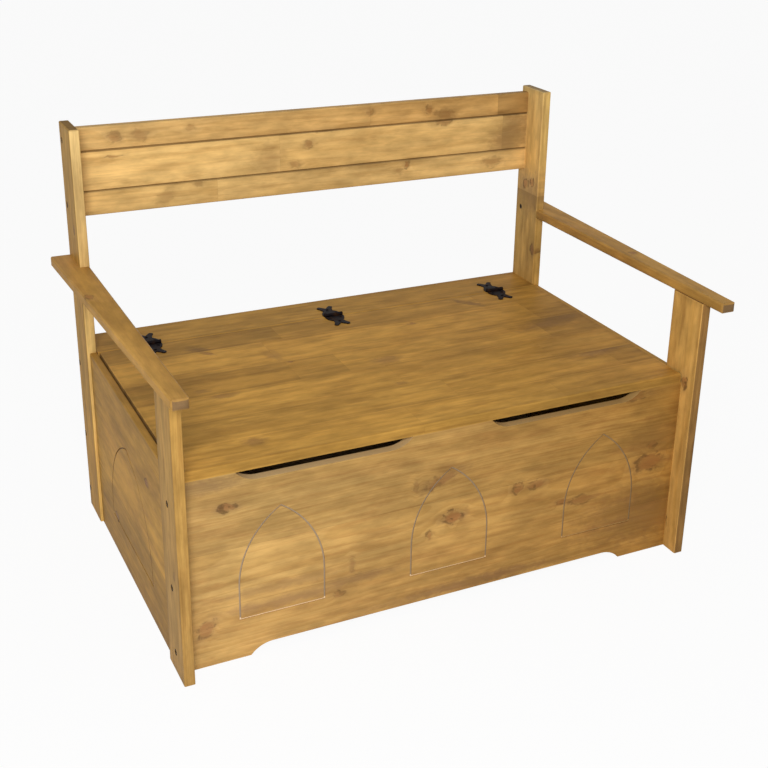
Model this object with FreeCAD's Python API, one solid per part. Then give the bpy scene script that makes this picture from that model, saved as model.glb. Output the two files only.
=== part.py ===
"""Pine settle bench: a storage box seat with a hinged lid, plank uprights, arms and an open back.

Millimetres. +Z is up, +Y points to the back and +X to the right when the bench is seen from the
front. The origin is the middle of the bench's outline, on the floor. Left pieces are on the -X side.
"""
import FreeCAD, Part

import math
import os

V = FreeCAD.Vector

# Uprights: rear posts and front legs, cut from the same plank
WIDTH_OVER_UPRIGHTS = 1080.0
DEPTH_OVER_UPRIGHTS = 710.0
UPRIGHT_THICKNESS = 20.0
UPRIGHT_WIDTH = 92.0
POST_HEIGHT = 855.0
LEG_HEIGHT = 560.0
UPRIGHT_ROUNDING = 2.5
UPRIGHT_TOP_EASING = 2.0

# Arms
ARM_THICKNESS = 20.0
ARM_FRONT_OVERHANG = 56.0
ARM_SIDE_OVERHANG_REAR = 40.0
ARM_SIDE_OVERHANG_FRONT = 11.0
ARM_CORNER_RADIUS = 7.0
ARM_EASING = 3.0

# Back
BACK_BOARD_THICKNESS = 20.0
BACK_TOP_DROP = 11.0
BACK_TOP_BOARD_HEIGHT = 48.0
BACK_MIDDLE_BOARD_HEIGHT = 82.0
BACK_BOTTOM_BOARD_HEIGHT = 50.0
BACK_INSET = 8.0
BACK_GROOVE = 2.5
BACK_ROUNDING = 3.5
TONGUE_THICKNESS = 6.0
TONGUE_LENGTH = 7.0
TONGUE_CLEARANCE = 0.2

# Seat and lid
SEAT_HEIGHT = 398.0
SEAT_THICKNESS = 18.0
SEAT_STRIP_DEPTH = 103.0
LID_SIDE_GAP = 3.0
LID_REAR_GAP = 1.0
LID_FRONT_ROUNDING = 5.5
LID_EDGE_EASING = 1.5
LID_STAVE_PATTERN = (79.0, 114.0, 96.0, 105.0, 87.0, 86.0)
LID_BATTEN_WIDTH = 45.0
LID_BATTEN_THICKNESS = 20.0
LID_BATTEN_END_INSET = 35.0
LID_BATTEN_FRONT_GAP = 8.0
LID_BATTEN_REAR_INSET = 16.0
BEARER_WIDTH = 20.0
BEARER_HEIGHT = 32.0

# Box panels
PANEL_THICKNESS = 18.0
FRONT_PANEL_SETBACK = 39.0
SIDE_PANEL_THICKNESS = 14.0
SIDE_PANEL_DROP = 4.0
NOTCH_END_LAND = 98.0
NOTCH_MIDDLE_LAND = 164.0
NOTCH_DEPTH = 20.0
FOOT_LENGTH = 117.0
FOOT_HEIGHT = 20.0
CUTTER_RADIUS = 55.0

# Pointed-arch grooves
GROOVE_WIDTH = 3.0
GROOVE_DEPTH = 2.0
GROOVE_BASE_HEIGHT = 81.0
FRONT_ARCH_WIDTH = 166.0
FRONT_ARCH_END_LAND = 97.0
FRONT_ARCH_JAMB = 69.0
FRONT_ARCH_TOP_LAND = 80.0
SIDE_ARCH_END_LAND = 113.0
SIDE_ARCH_JAMB = 19.0
SIDE_ARCH_TOP_LAND = 94.0

# Floor of the box
FLOOR_THICKNESS = 9.0
CLEAT_SIZE = 20.0
CLEAT_ABOVE_EDGE = 5.0

# Bolts, barrel nuts and dowels
BOLT_DIAMETER = 6.0
BOLT_HEAD_DIAMETER = 10.0
BOLT_HEAD_HEIGHT = 6.0
BOLT_SOCKET_WIDTH = 5.0
BOLT_SOCKET_DEPTH = 3.5
PANEL_BOLT_LENGTH = 60.0
ARM_BOLT_LENGTH = 45.0
COUNTERBORE_DIAMETER = 12.0
COUNTERBORE_DEPTH = 7.0
BOLT_HOLE_CLEARANCE = 0.25
THREAD_CLEARANCE = 0.05
NUT_DIAMETER = 10.0
NUT_LENGTH = 12.0
NUT_FROM_END = 35.0
ARM_NUT_FROM_END = 18.0
NUT_HOLE_CLEARANCE = 0.1
PANEL_BOLT_BOTTOM = 42.0
PANEL_BOLT_STEP = 134.0
PANEL_BOLT_TOP_DROP = 38.0
ARM_BOLT_FROM_REAR = 20.0
DOWEL_DIAMETER = 8.0
DOWEL_LENGTH = 30.0
DOWEL_CLEARANCE = 0.1
SIDE_DOWEL_MARGIN = 50.0
SIDE_DOWEL_COUNT = 3
ARM_DOWEL_SPACING = 50.0
ARM_DOWEL_DEPTH = 11.0
STRIP_DOWEL_MARGIN = 130.0
STRIP_DOWEL_COUNT = 4
STRIP_DOWEL_DEPTH = 10.0

# Butterfly hinges
HINGE_END_LAND = 110.0
HINGE_WIDTH = 42.0
HINGE_LEAF_LENGTH = 56.0
HINGE_WAIST_WIDTH = 22.0
HINGE_WAIST_AT = 29.0
HINGE_SHOULDER = 5.0
HINGE_HORN_SPREAD = 37.0
HINGE_HORN_WIDTH = 8.0
HINGE_HORN_DROP = 5.0
HINGE_HORN_NOTCH = 12.0
HINGE_WING_BOW = 2.2
HINGE_NECK_BOW = 1.6
HINGE_TIP_BOW = 2.2
HINGE_LEAF_THICKNESS = 2.2
KNUCKLE_DIAMETER = 8.0
KNUCKLE_LIFT = 0.3
KNUCKLE_GAP = 0.5
MIDDLE_KNUCKLE_LENGTH = 17.0
PIN_DIAMETER = 3.2
PIN_CLEARANCE = 0.05

# Sides of the drilled holes and of what sits in them
SHANK_SIDES = 6
HEAD_SIDES = 10
BORE_SIDES = 12
BARREL_SIDES = 16

# Planes that the pieces share
REAR_Y = (DEPTH_OVER_UPRIGHTS + ARM_FRONT_OVERHANG) / 2
LEG_FRONT_Y = REAR_Y - DEPTH_OVER_UPRIGHTS
POST_FRONT_Y = REAR_Y - UPRIGHT_WIDTH
LEG_REAR_Y = LEG_FRONT_Y + UPRIGHT_WIDTH
ARM_FRONT_Y = LEG_FRONT_Y - ARM_FRONT_OVERHANG
OUTER_X = WIDTH_OVER_UPRIGHTS / 2
INNER_X = OUTER_X - UPRIGHT_THICKNESS
SEAT_UNDERSIDE = SEAT_HEIGHT - SEAT_THICKNESS
STRIP_FRONT_Y = REAR_Y - SEAT_STRIP_DEPTH
LID_REAR_Y = STRIP_FRONT_Y - LID_REAR_GAP
FRONT_PANEL_Y = LEG_FRONT_Y + FRONT_PANEL_SETBACK
FRONT_PANEL_BACK_Y = FRONT_PANEL_Y + PANEL_THICKNESS
REAR_PANEL_FRONT_Y = REAR_Y - PANEL_THICKNESS
BACK_REAR_Y = REAR_Y - BACK_INSET
BACK_FRONT_Y = BACK_REAR_Y - BACK_BOARD_THICKNESS
LID_HALF_X = INNER_X - LID_SIDE_GAP
SIDE_FACE_X = INNER_X + SIDE_PANEL_THICKNESS
SIDE_TOP = SEAT_HEIGHT - SIDE_PANEL_DROP
HINGE_AXIS_Y = STRIP_FRONT_Y - LID_REAR_GAP / 2
HINGE_AXIS_Z = SEAT_HEIGHT + KNUCKLE_LIFT + KNUCKLE_DIAMETER / 2
CLEAT_Z = FOOT_HEIGHT + CLEAT_ABOVE_EDGE
FLOOR_Z = CLEAT_Z + CLEAT_SIZE

X_AXIS = V(1, 0, 0)
Y_AXIS = V(0, 1, 0)
Z_AXIS = V(0, 0, 1)
ORIGIN = V(0, 0, 0)


def box(x0, x1, y0, y1, z0, z1):
    """Return the block between the given limits."""
    return Part.makeBox(x1 - x0, y1 - y0, z1 - z0, V(x0, y0, z0))


def rod(start, direction, length, diameter, sides):
    """Return a many-sided rod from start along direction, diameter across its flats.

    A rod and its hole have the same sides, so the clearance between them is the same all round.
    """
    corner = diameter / 2 / math.cos(math.pi / sides)
    points = []
    for index in range(sides + 1):
        angle = math.pi * (2 * index + 1) / sides
        points.append(V(corner * math.cos(angle), corner * math.sin(angle), 0))
    prism = Part.Face(Part.makePolygon(points)).extrude(V(0, 0, length))
    return placed(prism, start, direction)


def mirrored(shape):
    """Return the shape's twin on the other side of the bench."""
    return shape.mirror(ORIGIN, X_AXIS)


def edges_along(shape, axis, test):
    """Return the straight edges that run along axis and whose middle passes test."""
    found = []
    for edge in shape.Edges:
        if edge.Curve.TypeId != "Part::GeomLine":
            continue
        if abs(edge.Curve.Direction.dot(axis)) < 0.999:
            continue
        if test(edge.CenterOfMass):
            found.append(edge)
    return found


def evenly(first, last, count):
    """Return count positions from first to last."""
    step = (last - first) / (count - 1)
    return [first + step * index for index in range(count)]


def placed(shape, point, direction):
    """Return a shape drawn along +Z at the origin, moved to point and turned to direction."""
    moved = shape.copy()
    moved.Placement = FreeCAD.Placement(point, FreeCAD.Rotation(Z_AXIS, direction))
    return moved


def make_bolt(face_point, direction, length):
    """Return a socket-head bolt whose head sits in a counterbore under face_point."""
    top = COUNTERBORE_DEPTH - BOLT_HEAD_HEIGHT
    head = rod(V(0, 0, top), Z_AXIS, BOLT_HEAD_HEIGHT, BOLT_HEAD_DIAMETER, HEAD_SIDES)
    shank = rod(V(0, 0, COUNTERBORE_DEPTH), Z_AXIS, length, BOLT_DIAMETER, SHANK_SIDES)
    socket = rod(V(0, 0, top), Z_AXIS, BOLT_SOCKET_DEPTH, BOLT_SOCKET_WIDTH, 6)
    return placed(head.fuse(shank).cut(socket), face_point, direction)


def upright_bolt_hole(face_point, direction):
    """Return the counterbore and through hole that a bolt needs in an upright."""
    bore = rod(face_point, direction, COUNTERBORE_DEPTH, COUNTERBORE_DIAMETER, HEAD_SIDES)
    hole = rod(face_point, direction, UPRIGHT_THICKNESS, BOLT_DIAMETER + 2 * BOLT_HOLE_CLEARANCE,
               SHANK_SIDES)
    return bore.fuse(hole)


def end_bolt_hole(end_point, direction, length):
    """Return the blind hole for a bolt's shank in the end of a board."""
    reach = length + COUNTERBORE_DEPTH - UPRIGHT_THICKNESS + BOLT_HOLE_CLEARANCE
    return rod(end_point, direction, reach, BOLT_DIAMETER + 2 * BOLT_HOLE_CLEARANCE, SHANK_SIDES)


def make_nut(centre, nut_axis, bolt_axis):
    """Return a barrel nut round the bolt."""
    start = centre - nut_axis * (NUT_LENGTH / 2)
    nut = rod(start, nut_axis, NUT_LENGTH, NUT_DIAMETER, SHANK_SIDES)
    bore = rod(centre - bolt_axis * NUT_DIAMETER, bolt_axis, 2 * NUT_DIAMETER,
               BOLT_DIAMETER + 2 * THREAD_CLEARANCE, SHANK_SIDES)
    return nut.cut(bore)


def nut_hole(centre, mouth_axis, mouth_distance):
    """Return the hole that takes a barrel nut, open towards mouth_axis."""
    start = centre - mouth_axis * (NUT_LENGTH / 2 + NUT_HOLE_CLEARANCE)
    depth = NUT_LENGTH / 2 + NUT_HOLE_CLEARANCE + mouth_distance
    return rod(start, mouth_axis, depth, NUT_DIAMETER + 2 * NUT_HOLE_CLEARANCE, SHANK_SIDES)


def make_dowel(start, direction):
    """Return a dowel from start along direction."""
    return rod(start, direction, DOWEL_LENGTH, DOWEL_DIAMETER, SHANK_SIDES)


def dowel_hole(start, direction):
    """Return the hole that a dowel needs in both of its boards."""
    first = start - direction * DOWEL_CLEARANCE
    length = DOWEL_LENGTH + 2 * DOWEL_CLEARANCE
    return rod(first, direction, length, DOWEL_DIAMETER + 2 * DOWEL_CLEARANCE, SHANK_SIDES)


def bolt_set(y, z, nut_axis, mouth_distance):
    """Return one bolted joint between the left upright and the board beside it.

    The joint is an upright hole, a board hole, a bolt and a nut, all at height z and depth y.
    """
    face = V(-OUTER_X, y, z)
    end = V(-INNER_X, y, z)
    centre = end + X_AXIS * NUT_FROM_END
    board_hole = end_bolt_hole(end, X_AXIS, PANEL_BOLT_LENGTH)
    board_hole = board_hole.fuse(nut_hole(centre, nut_axis, mouth_distance))
    return (upright_bolt_hole(face, X_AXIS), board_hole,
            make_bolt(face, X_AXIS, PANEL_BOLT_LENGTH), make_nut(centre, nut_axis, X_AXIS))


def both_sides(shapes):
    """Return the shapes with their mirrored twins."""
    return list(shapes) + [mirrored(shape) for shape in shapes]


# Bolted joints of the front panel, the rear panel and the back
panel_bolt_heights = (PANEL_BOLT_BOTTOM, PANEL_BOLT_BOTTOM + PANEL_BOLT_STEP,
                      SEAT_UNDERSIDE - PANEL_BOLT_TOP_DROP)
front_joints = []
rear_joints = []
for height in panel_bolt_heights:
    front_joints.append(bolt_set(FRONT_PANEL_Y + PANEL_THICKNESS / 2, height, Y_AXIS, PANEL_THICKNESS / 2))
    rear_joints.append(bolt_set(REAR_Y - PANEL_THICKNESS / 2, height, -Y_AXIS, PANEL_THICKNESS / 2))

back_top = POST_HEIGHT - BACK_TOP_DROP
back_upper_joint = back_top - BACK_TOP_BOARD_HEIGHT
back_lower_joint = back_upper_joint - BACK_MIDDLE_BOARD_HEIGHT
back_bottom = back_lower_joint - BACK_BOTTOM_BOARD_HEIGHT
back_middle_y = (BACK_FRONT_Y + BACK_REAR_Y) / 2
top_board_joint = bolt_set(back_middle_y, (back_top + back_upper_joint) / 2, Y_AXIS, BACK_BOARD_THICKNESS / 2)
bottom_board_joint = bolt_set(back_middle_y, (back_lower_joint + back_bottom) / 2, Y_AXIS,
                              BACK_BOARD_THICKNESS / 2)

# Arm joints: a bolt from the post's inner face and two dowels in the leg's top
arm_top = LEG_HEIGHT + ARM_THICKNESS
arm_middle_z = LEG_HEIGHT + ARM_THICKNESS / 2
arm_bolt_y = REAR_Y - ARM_BOLT_FROM_REAR
arm_bolt_face = V(-INNER_X, arm_bolt_y, arm_middle_z)
arm_bolt_end = V(-OUTER_X, arm_bolt_y, arm_middle_z)
arm_nut_centre = arm_bolt_end - X_AXIS * ARM_NUT_FROM_END
arm_bolt = make_bolt(arm_bolt_face, -X_AXIS, ARM_BOLT_LENGTH)
arm_nut = make_nut(arm_nut_centre, Z_AXIS, X_AXIS)
arm_upright_hole = upright_bolt_hole(arm_bolt_face, -X_AXIS)
arm_hole = end_bolt_hole(arm_bolt_end, -X_AXIS, ARM_BOLT_LENGTH)
arm_hole = arm_hole.fuse(nut_hole(arm_nut_centre, -Z_AXIS, ARM_THICKNESS / 2))

upright_middle_x = -(OUTER_X + INNER_X) / 2
leg_middle_y = LEG_FRONT_Y + UPRIGHT_WIDTH / 2
arm_dowels = []
arm_dowel_holes = []
for offset in (-ARM_DOWEL_SPACING / 2, ARM_DOWEL_SPACING / 2):
    start = V(upright_middle_x, leg_middle_y + offset, LEG_HEIGHT + ARM_DOWEL_DEPTH)
    arm_dowels.append(make_dowel(start, -Z_AXIS))
    arm_dowel_holes.append(dowel_hole(start, -Z_AXIS))

# Side panel joints: dowels into the post and the leg
side_middle_x = -(INNER_X + SIDE_FACE_X) / 2
side_dowels = []
side_dowel_holes = []
for height in evenly(SIDE_DOWEL_MARGIN, SIDE_TOP - SIDE_DOWEL_MARGIN, SIDE_DOWEL_COUNT):
    for joint_y in (LEG_REAR_Y, POST_FRONT_Y):
        start = V(side_middle_x, joint_y - DOWEL_LENGTH / 2, height)
        side_dowels.append(make_dowel(start, Y_AXIS))
        side_dowel_holes.append(dowel_hole(start, Y_AXIS))

# Strip joints: dowels into the rear panel's top edge
strip_dowels = []
strip_dowel_holes = []
strip_dowel_end = INNER_X - STRIP_DOWEL_MARGIN
for x in evenly(-strip_dowel_end, strip_dowel_end, STRIP_DOWEL_COUNT):
    start = V(x, REAR_Y - PANEL_THICKNESS / 2, SEAT_UNDERSIDE + STRIP_DOWEL_DEPTH)
    strip_dowels.append(make_dowel(start, -Z_AXIS))
    strip_dowel_holes.append(dowel_hole(start, -Z_AXIS))


def make_upright(y0, y1, height, free_top):
    """Return a left upright with rounded long edges, and eased ones round a top that nothing covers."""
    blank = box(-OUTER_X, -INNER_X, y0, y1, 0, height)
    upright = blank.makeFillet(UPRIGHT_ROUNDING, edges_along(blank, Z_AXIS, lambda middle: True))
    if free_top:
        rim = [edge for edge in blank.Edges if edge.BoundBox.ZMin > height - 0.01]
        upright = upright.common(blank.makeChamfer(UPRIGHT_TOP_EASING, rim))
    return upright


def make_arm():
    """Return the left arm: notched round the post, tapering forwards, eased all round."""
    tail_x = -OUTER_X - ARM_SIDE_OVERHANG_REAR
    nose_x = -OUTER_X - ARM_SIDE_OVERHANG_FRONT
    corners = [V(tail_x, REAR_Y, LEG_HEIGHT), V(nose_x, ARM_FRONT_Y, LEG_HEIGHT),
               V(-INNER_X, ARM_FRONT_Y, LEG_HEIGHT), V(-INNER_X, REAR_Y, LEG_HEIGHT),
               V(tail_x, REAR_Y, LEG_HEIGHT)]
    blank = Part.Face(Part.makePolygon(corners)).extrude(V(0, 0, ARM_THICKNESS))
    free_corners = edges_along(blank, Z_AXIS, lambda middle: middle.y < 0 or middle.x < -OUTER_X)
    rim = [edge for edge in blank.Edges if edge.BoundBox.ZLength < 0.01]
    rounded = blank.makeFillet(ARM_CORNER_RADIUS, free_corners)
    eased = rounded.common(blank.makeChamfer(ARM_EASING, rim))
    notch = box(-OUTER_X, -INNER_X + ARM_EASING, POST_FRONT_Y, REAR_Y + ARM_EASING, LEG_HEIGHT, arm_top)
    arm = eased.cut(notch).cut(arm_hole)
    for hole in arm_dowel_holes:
        arm = arm.cut(hole)
    return arm


def tongue_block(z0, z1, clearance):
    """Return a tongue along the back's boards, or with a clearance the groove that takes it."""
    half = TONGUE_THICKNESS / 2 + clearance
    return box(-INNER_X, INNER_X, back_middle_y - half, back_middle_y + half, min(z0, z1), max(z0, z1))


def make_back_board(bottom, top, lower_edge, upper_edge):
    """Return one board of the back.

    An outer long edge is "round". One that meets the next board is bevelled to half of a V groove, and
    has a "tongue" or the "groove" that takes one.
    """
    board = box(-INNER_X, INNER_X, BACK_FRONT_Y, BACK_REAR_Y, bottom, top)
    for edge_z, outward, kind in ((bottom, -1, lower_edge), (top, 1, upper_edge)):
        corners = edges_along(board, X_AXIS, lambda middle: abs(middle.z - edge_z) < 0.01)
        if kind == "round":
            board = board.makeFillet(BACK_ROUNDING, corners)
            continue
        board = board.makeChamfer(BACK_GROOVE, corners)
        if kind == "tongue":
            board = board.fuse(tongue_block(edge_z, edge_z + outward * TONGUE_LENGTH, 0))
        if kind == "groove":
            groove_end = edge_z - outward * (TONGUE_LENGTH + TONGUE_CLEARANCE)
            board = board.cut(tongue_block(edge_z, groove_end, TONGUE_CLEARANCE))
    return board.removeSplitter()


def with_holes(board, joints):
    """Return a board between two uprights with its share of the bolted joints at both ends."""
    for joint in joints:
        board = board.cut(joint[1]).cut(mirrored(joint[1]))
    return board


def arch_wire(half_width, base, spring, apex):
    """Return a pointed-arch outline, drawn in X and Z about the origin."""
    rise = apex - spring
    radius = (half_width ** 2 + rise ** 2) / (2 * half_width)
    middle = math.atan2(rise, radius - half_width) / 2
    left = V(-half_width, 0, spring)
    right = V(half_width, 0, spring)
    peak = V(0, 0, apex)
    reach = half_width - radius + radius * math.cos(middle)
    height = spring + radius * math.sin(middle)
    edges = [
        Part.LineSegment(V(-half_width, 0, base), V(half_width, 0, base)).toShape(),
        Part.LineSegment(V(half_width, 0, base), right).toShape(),
        Part.Arc(right, V(reach, 0, height), peak).toShape(),
        Part.Arc(peak, V(-reach, 0, height), left).toShape(),
        Part.LineSegment(left, V(-half_width, 0, base)).toShape(),
    ]
    return Part.Wire(edges)


def arch_groove(width, base, jamb, apex):
    """Return the body of a pointed-arch groove, drawn in X and Z, from y = 0 to the groove's depth."""
    half = width / 2
    outer = Part.Face(arch_wire(half, base, base + jamb, apex))
    inner = Part.Face(arch_wire(half - GROOVE_WIDTH, base + GROOVE_WIDTH, base + jamb, apex - GROOVE_WIDTH))
    return outer.cut(inner).extrude(V(0, GROOVE_DEPTH, 0))


def make_front_panel():
    """Return the front panel: finger cut-outs above, feet below, three arch grooves in its face."""
    dip = math.sqrt(CUTTER_RADIUS ** 2 - (CUTTER_RADIUS - NOTCH_DEPTH) ** 2)
    rise = math.sqrt(CUTTER_RADIUS ** 2 - (CUTTER_RADIUS - FOOT_HEIGHT) ** 2)
    panel = box(-INNER_X, INNER_X, FRONT_PANEL_Y, FRONT_PANEL_BACK_Y, 0, SEAT_UNDERSIDE)
    notch = arc_slot(NOTCH_MIDDLE_LAND / 2, INNER_X - NOTCH_END_LAND, dip, SEAT_UNDERSIDE, -NOTCH_DEPTH)
    panel = panel.cut(notch).cut(mirrored(notch))
    foot_end = INNER_X - FOOT_LENGTH
    panel = panel.cut(arc_slot(-foot_end, foot_end, rise, 0, FOOT_HEIGHT))
    pitch = INNER_X - FRONT_ARCH_END_LAND - FRONT_ARCH_WIDTH / 2
    groove = arch_groove(FRONT_ARCH_WIDTH, GROOVE_BASE_HEIGHT, FRONT_ARCH_JAMB,
                         SEAT_UNDERSIDE - FRONT_ARCH_TOP_LAND)
    for x in (-pitch, 0, pitch):
        panel = panel.cut(groove.translated(V(x, FRONT_PANEL_Y, 0)))
    return with_holes(panel, front_joints)


def arc_slot(x0, x1, run, edge_z, depth):
    """Return a cutter for a shallow slot in a panel's edge, whose ends sweep out along the cutter's arc.

    depth is signed: negative cuts down from a top edge, positive cuts up from a bottom edge.
    """
    sign = 1 if depth > 0 else -1
    floor_z = edge_z + depth
    half_run = math.asin(run / CUTTER_RADIUS) / 2
    mid_run = CUTTER_RADIUS * math.sin(half_run)
    mid_z = floor_z - sign * CUTTER_RADIUS * (1 - math.cos(half_run))
    y = FRONT_PANEL_Y
    edges = [
        Part.LineSegment(V(x0, y, edge_z), V(x1, y, edge_z)).toShape(),
        Part.Arc(V(x1, y, edge_z), V(x1 - run + mid_run, y, mid_z), V(x1 - run, y, floor_z)).toShape(),
        Part.LineSegment(V(x1 - run, y, floor_z), V(x0 + run, y, floor_z)).toShape(),
        Part.Arc(V(x0 + run, y, floor_z), V(x0 + run - mid_run, y, mid_z), V(x0, y, edge_z)).toShape(),
    ]
    return Part.Face(Part.Wire(edges)).extrude(V(0, PANEL_THICKNESS, 0))


def make_rear_panel():
    """Return the plain rear panel."""
    panel = box(-INNER_X, INNER_X, REAR_PANEL_FRONT_Y, REAR_Y, 0, SEAT_UNDERSIDE)
    for hole in strip_dowel_holes:
        panel = panel.cut(hole)
    return with_holes(panel, rear_joints)


def make_side_panel():
    """Return the left side panel, with its wide arch groove outside."""
    panel = box(-SIDE_FACE_X, -INNER_X, LEG_REAR_Y, POST_FRONT_Y, 0, SIDE_TOP)
    top_edges = edges_along(panel, Y_AXIS, lambda middle: middle.z > SIDE_TOP / 2)
    panel = panel.makeChamfer(LID_EDGE_EASING, top_edges)
    length = POST_FRONT_Y - LEG_REAR_Y
    groove = arch_groove(length - 2 * SIDE_ARCH_END_LAND, GROOVE_BASE_HEIGHT, SIDE_ARCH_JAMB,
                         SIDE_TOP - SIDE_ARCH_TOP_LAND)
    groove.rotate(ORIGIN, Z_AXIS, -90)
    middle_y = (LEG_REAR_Y + POST_FRONT_Y) / 2
    panel = panel.cut(groove.translated(V(-SIDE_FACE_X, middle_y, 0)))
    for hole in side_dowel_holes:
        panel = panel.cut(hole)
    return panel


def hinge_outline():
    """Return one leaf's plan, drawn with the hinge's axis along X and the leaf towards +Y.

    From the knuckles the edge runs up a shoulder and round a wing to the waist, out along the horn's neck,
    round its blunt tip and back to the notch between the horns.
    """
    root = KNUCKLE_DIAMETER / 2 + KNUCKLE_GAP
    horn = HINGE_HORN_SPREAD / 2
    corners = [
        V(HINGE_WIDTH / 2, root, 0),
        V(HINGE_WIDTH / 2, root + HINGE_SHOULDER, 0),
        V(HINGE_WAIST_WIDTH / 2, HINGE_WAIST_AT, 0),
        V(horn, HINGE_LEAF_LENGTH - HINGE_HORN_DROP, 0),
        V(horn - HINGE_HORN_WIDTH, HINGE_LEAF_LENGTH, 0),
        V(0, HINGE_LEAF_LENGTH - HINGE_HORN_NOTCH, 0),
    ]
    bows = [0, HINGE_WING_BOW, -HINGE_NECK_BOW, HINGE_TIP_BOW, 0]
    edges = [Part.LineSegment(V(-HINGE_WIDTH / 2, root, 0), corners[0]).toShape()]
    for start, end, bow in zip(corners, corners[1:], bows):
        edges.append(bowed(start, end, bow))
    left = [V(-corner.x, corner.y, 0) for corner in reversed(corners)]
    for start, end, bow in zip(left, left[1:], reversed(bows)):
        edges.append(bowed(start, end, bow))
    return Part.Wire(edges)


def bowed(start, end, bow):
    """Return the arc from start to end whose middle stands out to the right of its chord by bow."""
    if bow == 0:
        return Part.LineSegment(start, end).toShape()
    along = (end - start).normalize()
    middle = (start + end) * 0.5 + V(along.y, -along.x, 0) * bow
    return Part.Arc(start, middle, end).toShape()


def make_leaf(knuckle_spans):
    """Return a hinge leaf at the origin, its axis along X, its underside KNUCKLE_LIFT below the barrel."""
    underside = -KNUCKLE_DIAMETER / 2 - KNUCKLE_LIFT
    root = KNUCKLE_DIAMETER / 2 + KNUCKLE_GAP
    leaf = Part.Face(hinge_outline()).extrude(V(0, 0, HINGE_LEAF_THICKNESS))
    leaf.translate(V(0, 0, underside))
    for x0, x1 in knuckle_spans:
        barrel = rod(V(x0, 0, 0), X_AXIS, x1 - x0, KNUCKLE_DIAMETER, BARREL_SIDES)
        web = box(x0, x1, LID_REAR_GAP, root, underside, underside + HINGE_LEAF_THICKNESS)
        leaf = leaf.fuse(barrel).fuse(web)
    bore = rod(V(-HINGE_WIDTH, 0, 0), X_AXIS, 2 * HINGE_WIDTH, PIN_DIAMETER + 2 * PIN_CLEARANCE, BORE_SIDES)
    return leaf.removeSplitter().cut(bore)


# Hinges: one near each end and one in the middle
hinge_end_x = INNER_X - HINGE_END_LAND
hinge_places = {"left": -hinge_end_x, "middle": 0.0, "right": hinge_end_x}
knuckle_end = MIDDLE_KNUCKLE_LENGTH / 2 + KNUCKLE_GAP
fixed_leaf = make_leaf([(-HINGE_WIDTH / 2, -knuckle_end), (knuckle_end, HINGE_WIDTH / 2)])
lid_leaf = make_leaf([(-MIDDLE_KNUCKLE_LENGTH / 2, MIDDLE_KNUCKLE_LENGTH / 2)])
lid_leaf.rotate(ORIGIN, Z_AXIS, 180)
pin = Part.makeCylinder(PIN_DIAMETER / 2, HINGE_WIDTH, V(-HINGE_WIDTH / 2, 0, 0), X_AXIS)

pins = []
fixed_leaves = {}
lid_leaves = {}
for side, x in hinge_places.items():
    seat = V(x, HINGE_AXIS_Y, HINGE_AXIS_Z)
    fixed_leaves[side] = fixed_leaf.translated(seat)
    lid_leaves[side] = lid_leaf.translated(seat)
    pins.append(pin.translated(seat))

# Lid: six staves edge to edge, on two battens
lid_depth = LID_REAR_Y - FRONT_PANEL_Y
pattern_total = sum(LID_STAVE_PATTERN)
stave_limits = [LID_REAR_Y]
for share in LID_STAVE_PATTERN:
    stave_limits.append(stave_limits[-1] - lid_depth * share / pattern_total)

batten_x1 = LID_HALF_X - LID_BATTEN_END_INSET
batten_x0 = batten_x1 - LID_BATTEN_WIDTH
batten_front = FRONT_PANEL_BACK_Y + LID_BATTEN_FRONT_GAP
batten_rear = LID_REAR_Y - LID_BATTEN_REAR_INSET
batten_bottom = SEAT_UNDERSIDE - LID_BATTEN_THICKNESS

staves = []
for index in range(len(LID_STAVE_PATTERN)):
    rear = stave_limits[index]
    front = stave_limits[index + 1]
    stave = box(-LID_HALF_X, LID_HALF_X, front, rear, SEAT_UNDERSIDE, SEAT_HEIGHT)
    if index == len(LID_STAVE_PATTERN) - 1:
        nose = edges_along(stave, X_AXIS,
                           lambda middle: middle.y < front + 0.01 and middle.z > SEAT_HEIGHT - 0.01)
        stave = stave.makeFillet(LID_FRONT_ROUNDING, nose)
    if index == 0:
        heel = edges_along(stave, X_AXIS,
                           lambda middle: middle.y > rear - 0.01 and middle.z > SEAT_HEIGHT - 0.01)
        stave = stave.makeChamfer(LID_EDGE_EASING, heel)
    staves.append(stave)

batten = box(-batten_x1, -batten_x0, batten_front, batten_rear, batten_bottom, SEAT_UNDERSIDE)
foot_edges = edges_along(batten, Y_AXIS, lambda middle: middle.z < batten_bottom + 0.01)
foot_edges += edges_along(batten, X_AXIS, lambda middle: middle.z < batten_bottom + 0.01)
batten = batten.makeChamfer(UPRIGHT_TOP_EASING, foot_edges)

# Strip behind the lid, fixed between the posts
strip = box(-INNER_X, INNER_X, STRIP_FRONT_Y, REAR_Y, SEAT_UNDERSIDE, SEAT_HEIGHT)
strip_edges = edges_along(strip, X_AXIS, lambda middle: middle.z > SEAT_HEIGHT - 0.01)
strip = strip.makeChamfer(LID_EDGE_EASING, strip_edges)
for hole in strip_dowel_holes:
    strip = strip.cut(hole)

# Bearers under the ends of the strip and the lid
bearer = box(-INNER_X, -INNER_X + BEARER_WIDTH, FRONT_PANEL_BACK_Y, REAR_PANEL_FRONT_Y,
             SEAT_UNDERSIDE - BEARER_HEIGHT, SEAT_UNDERSIDE)

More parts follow.
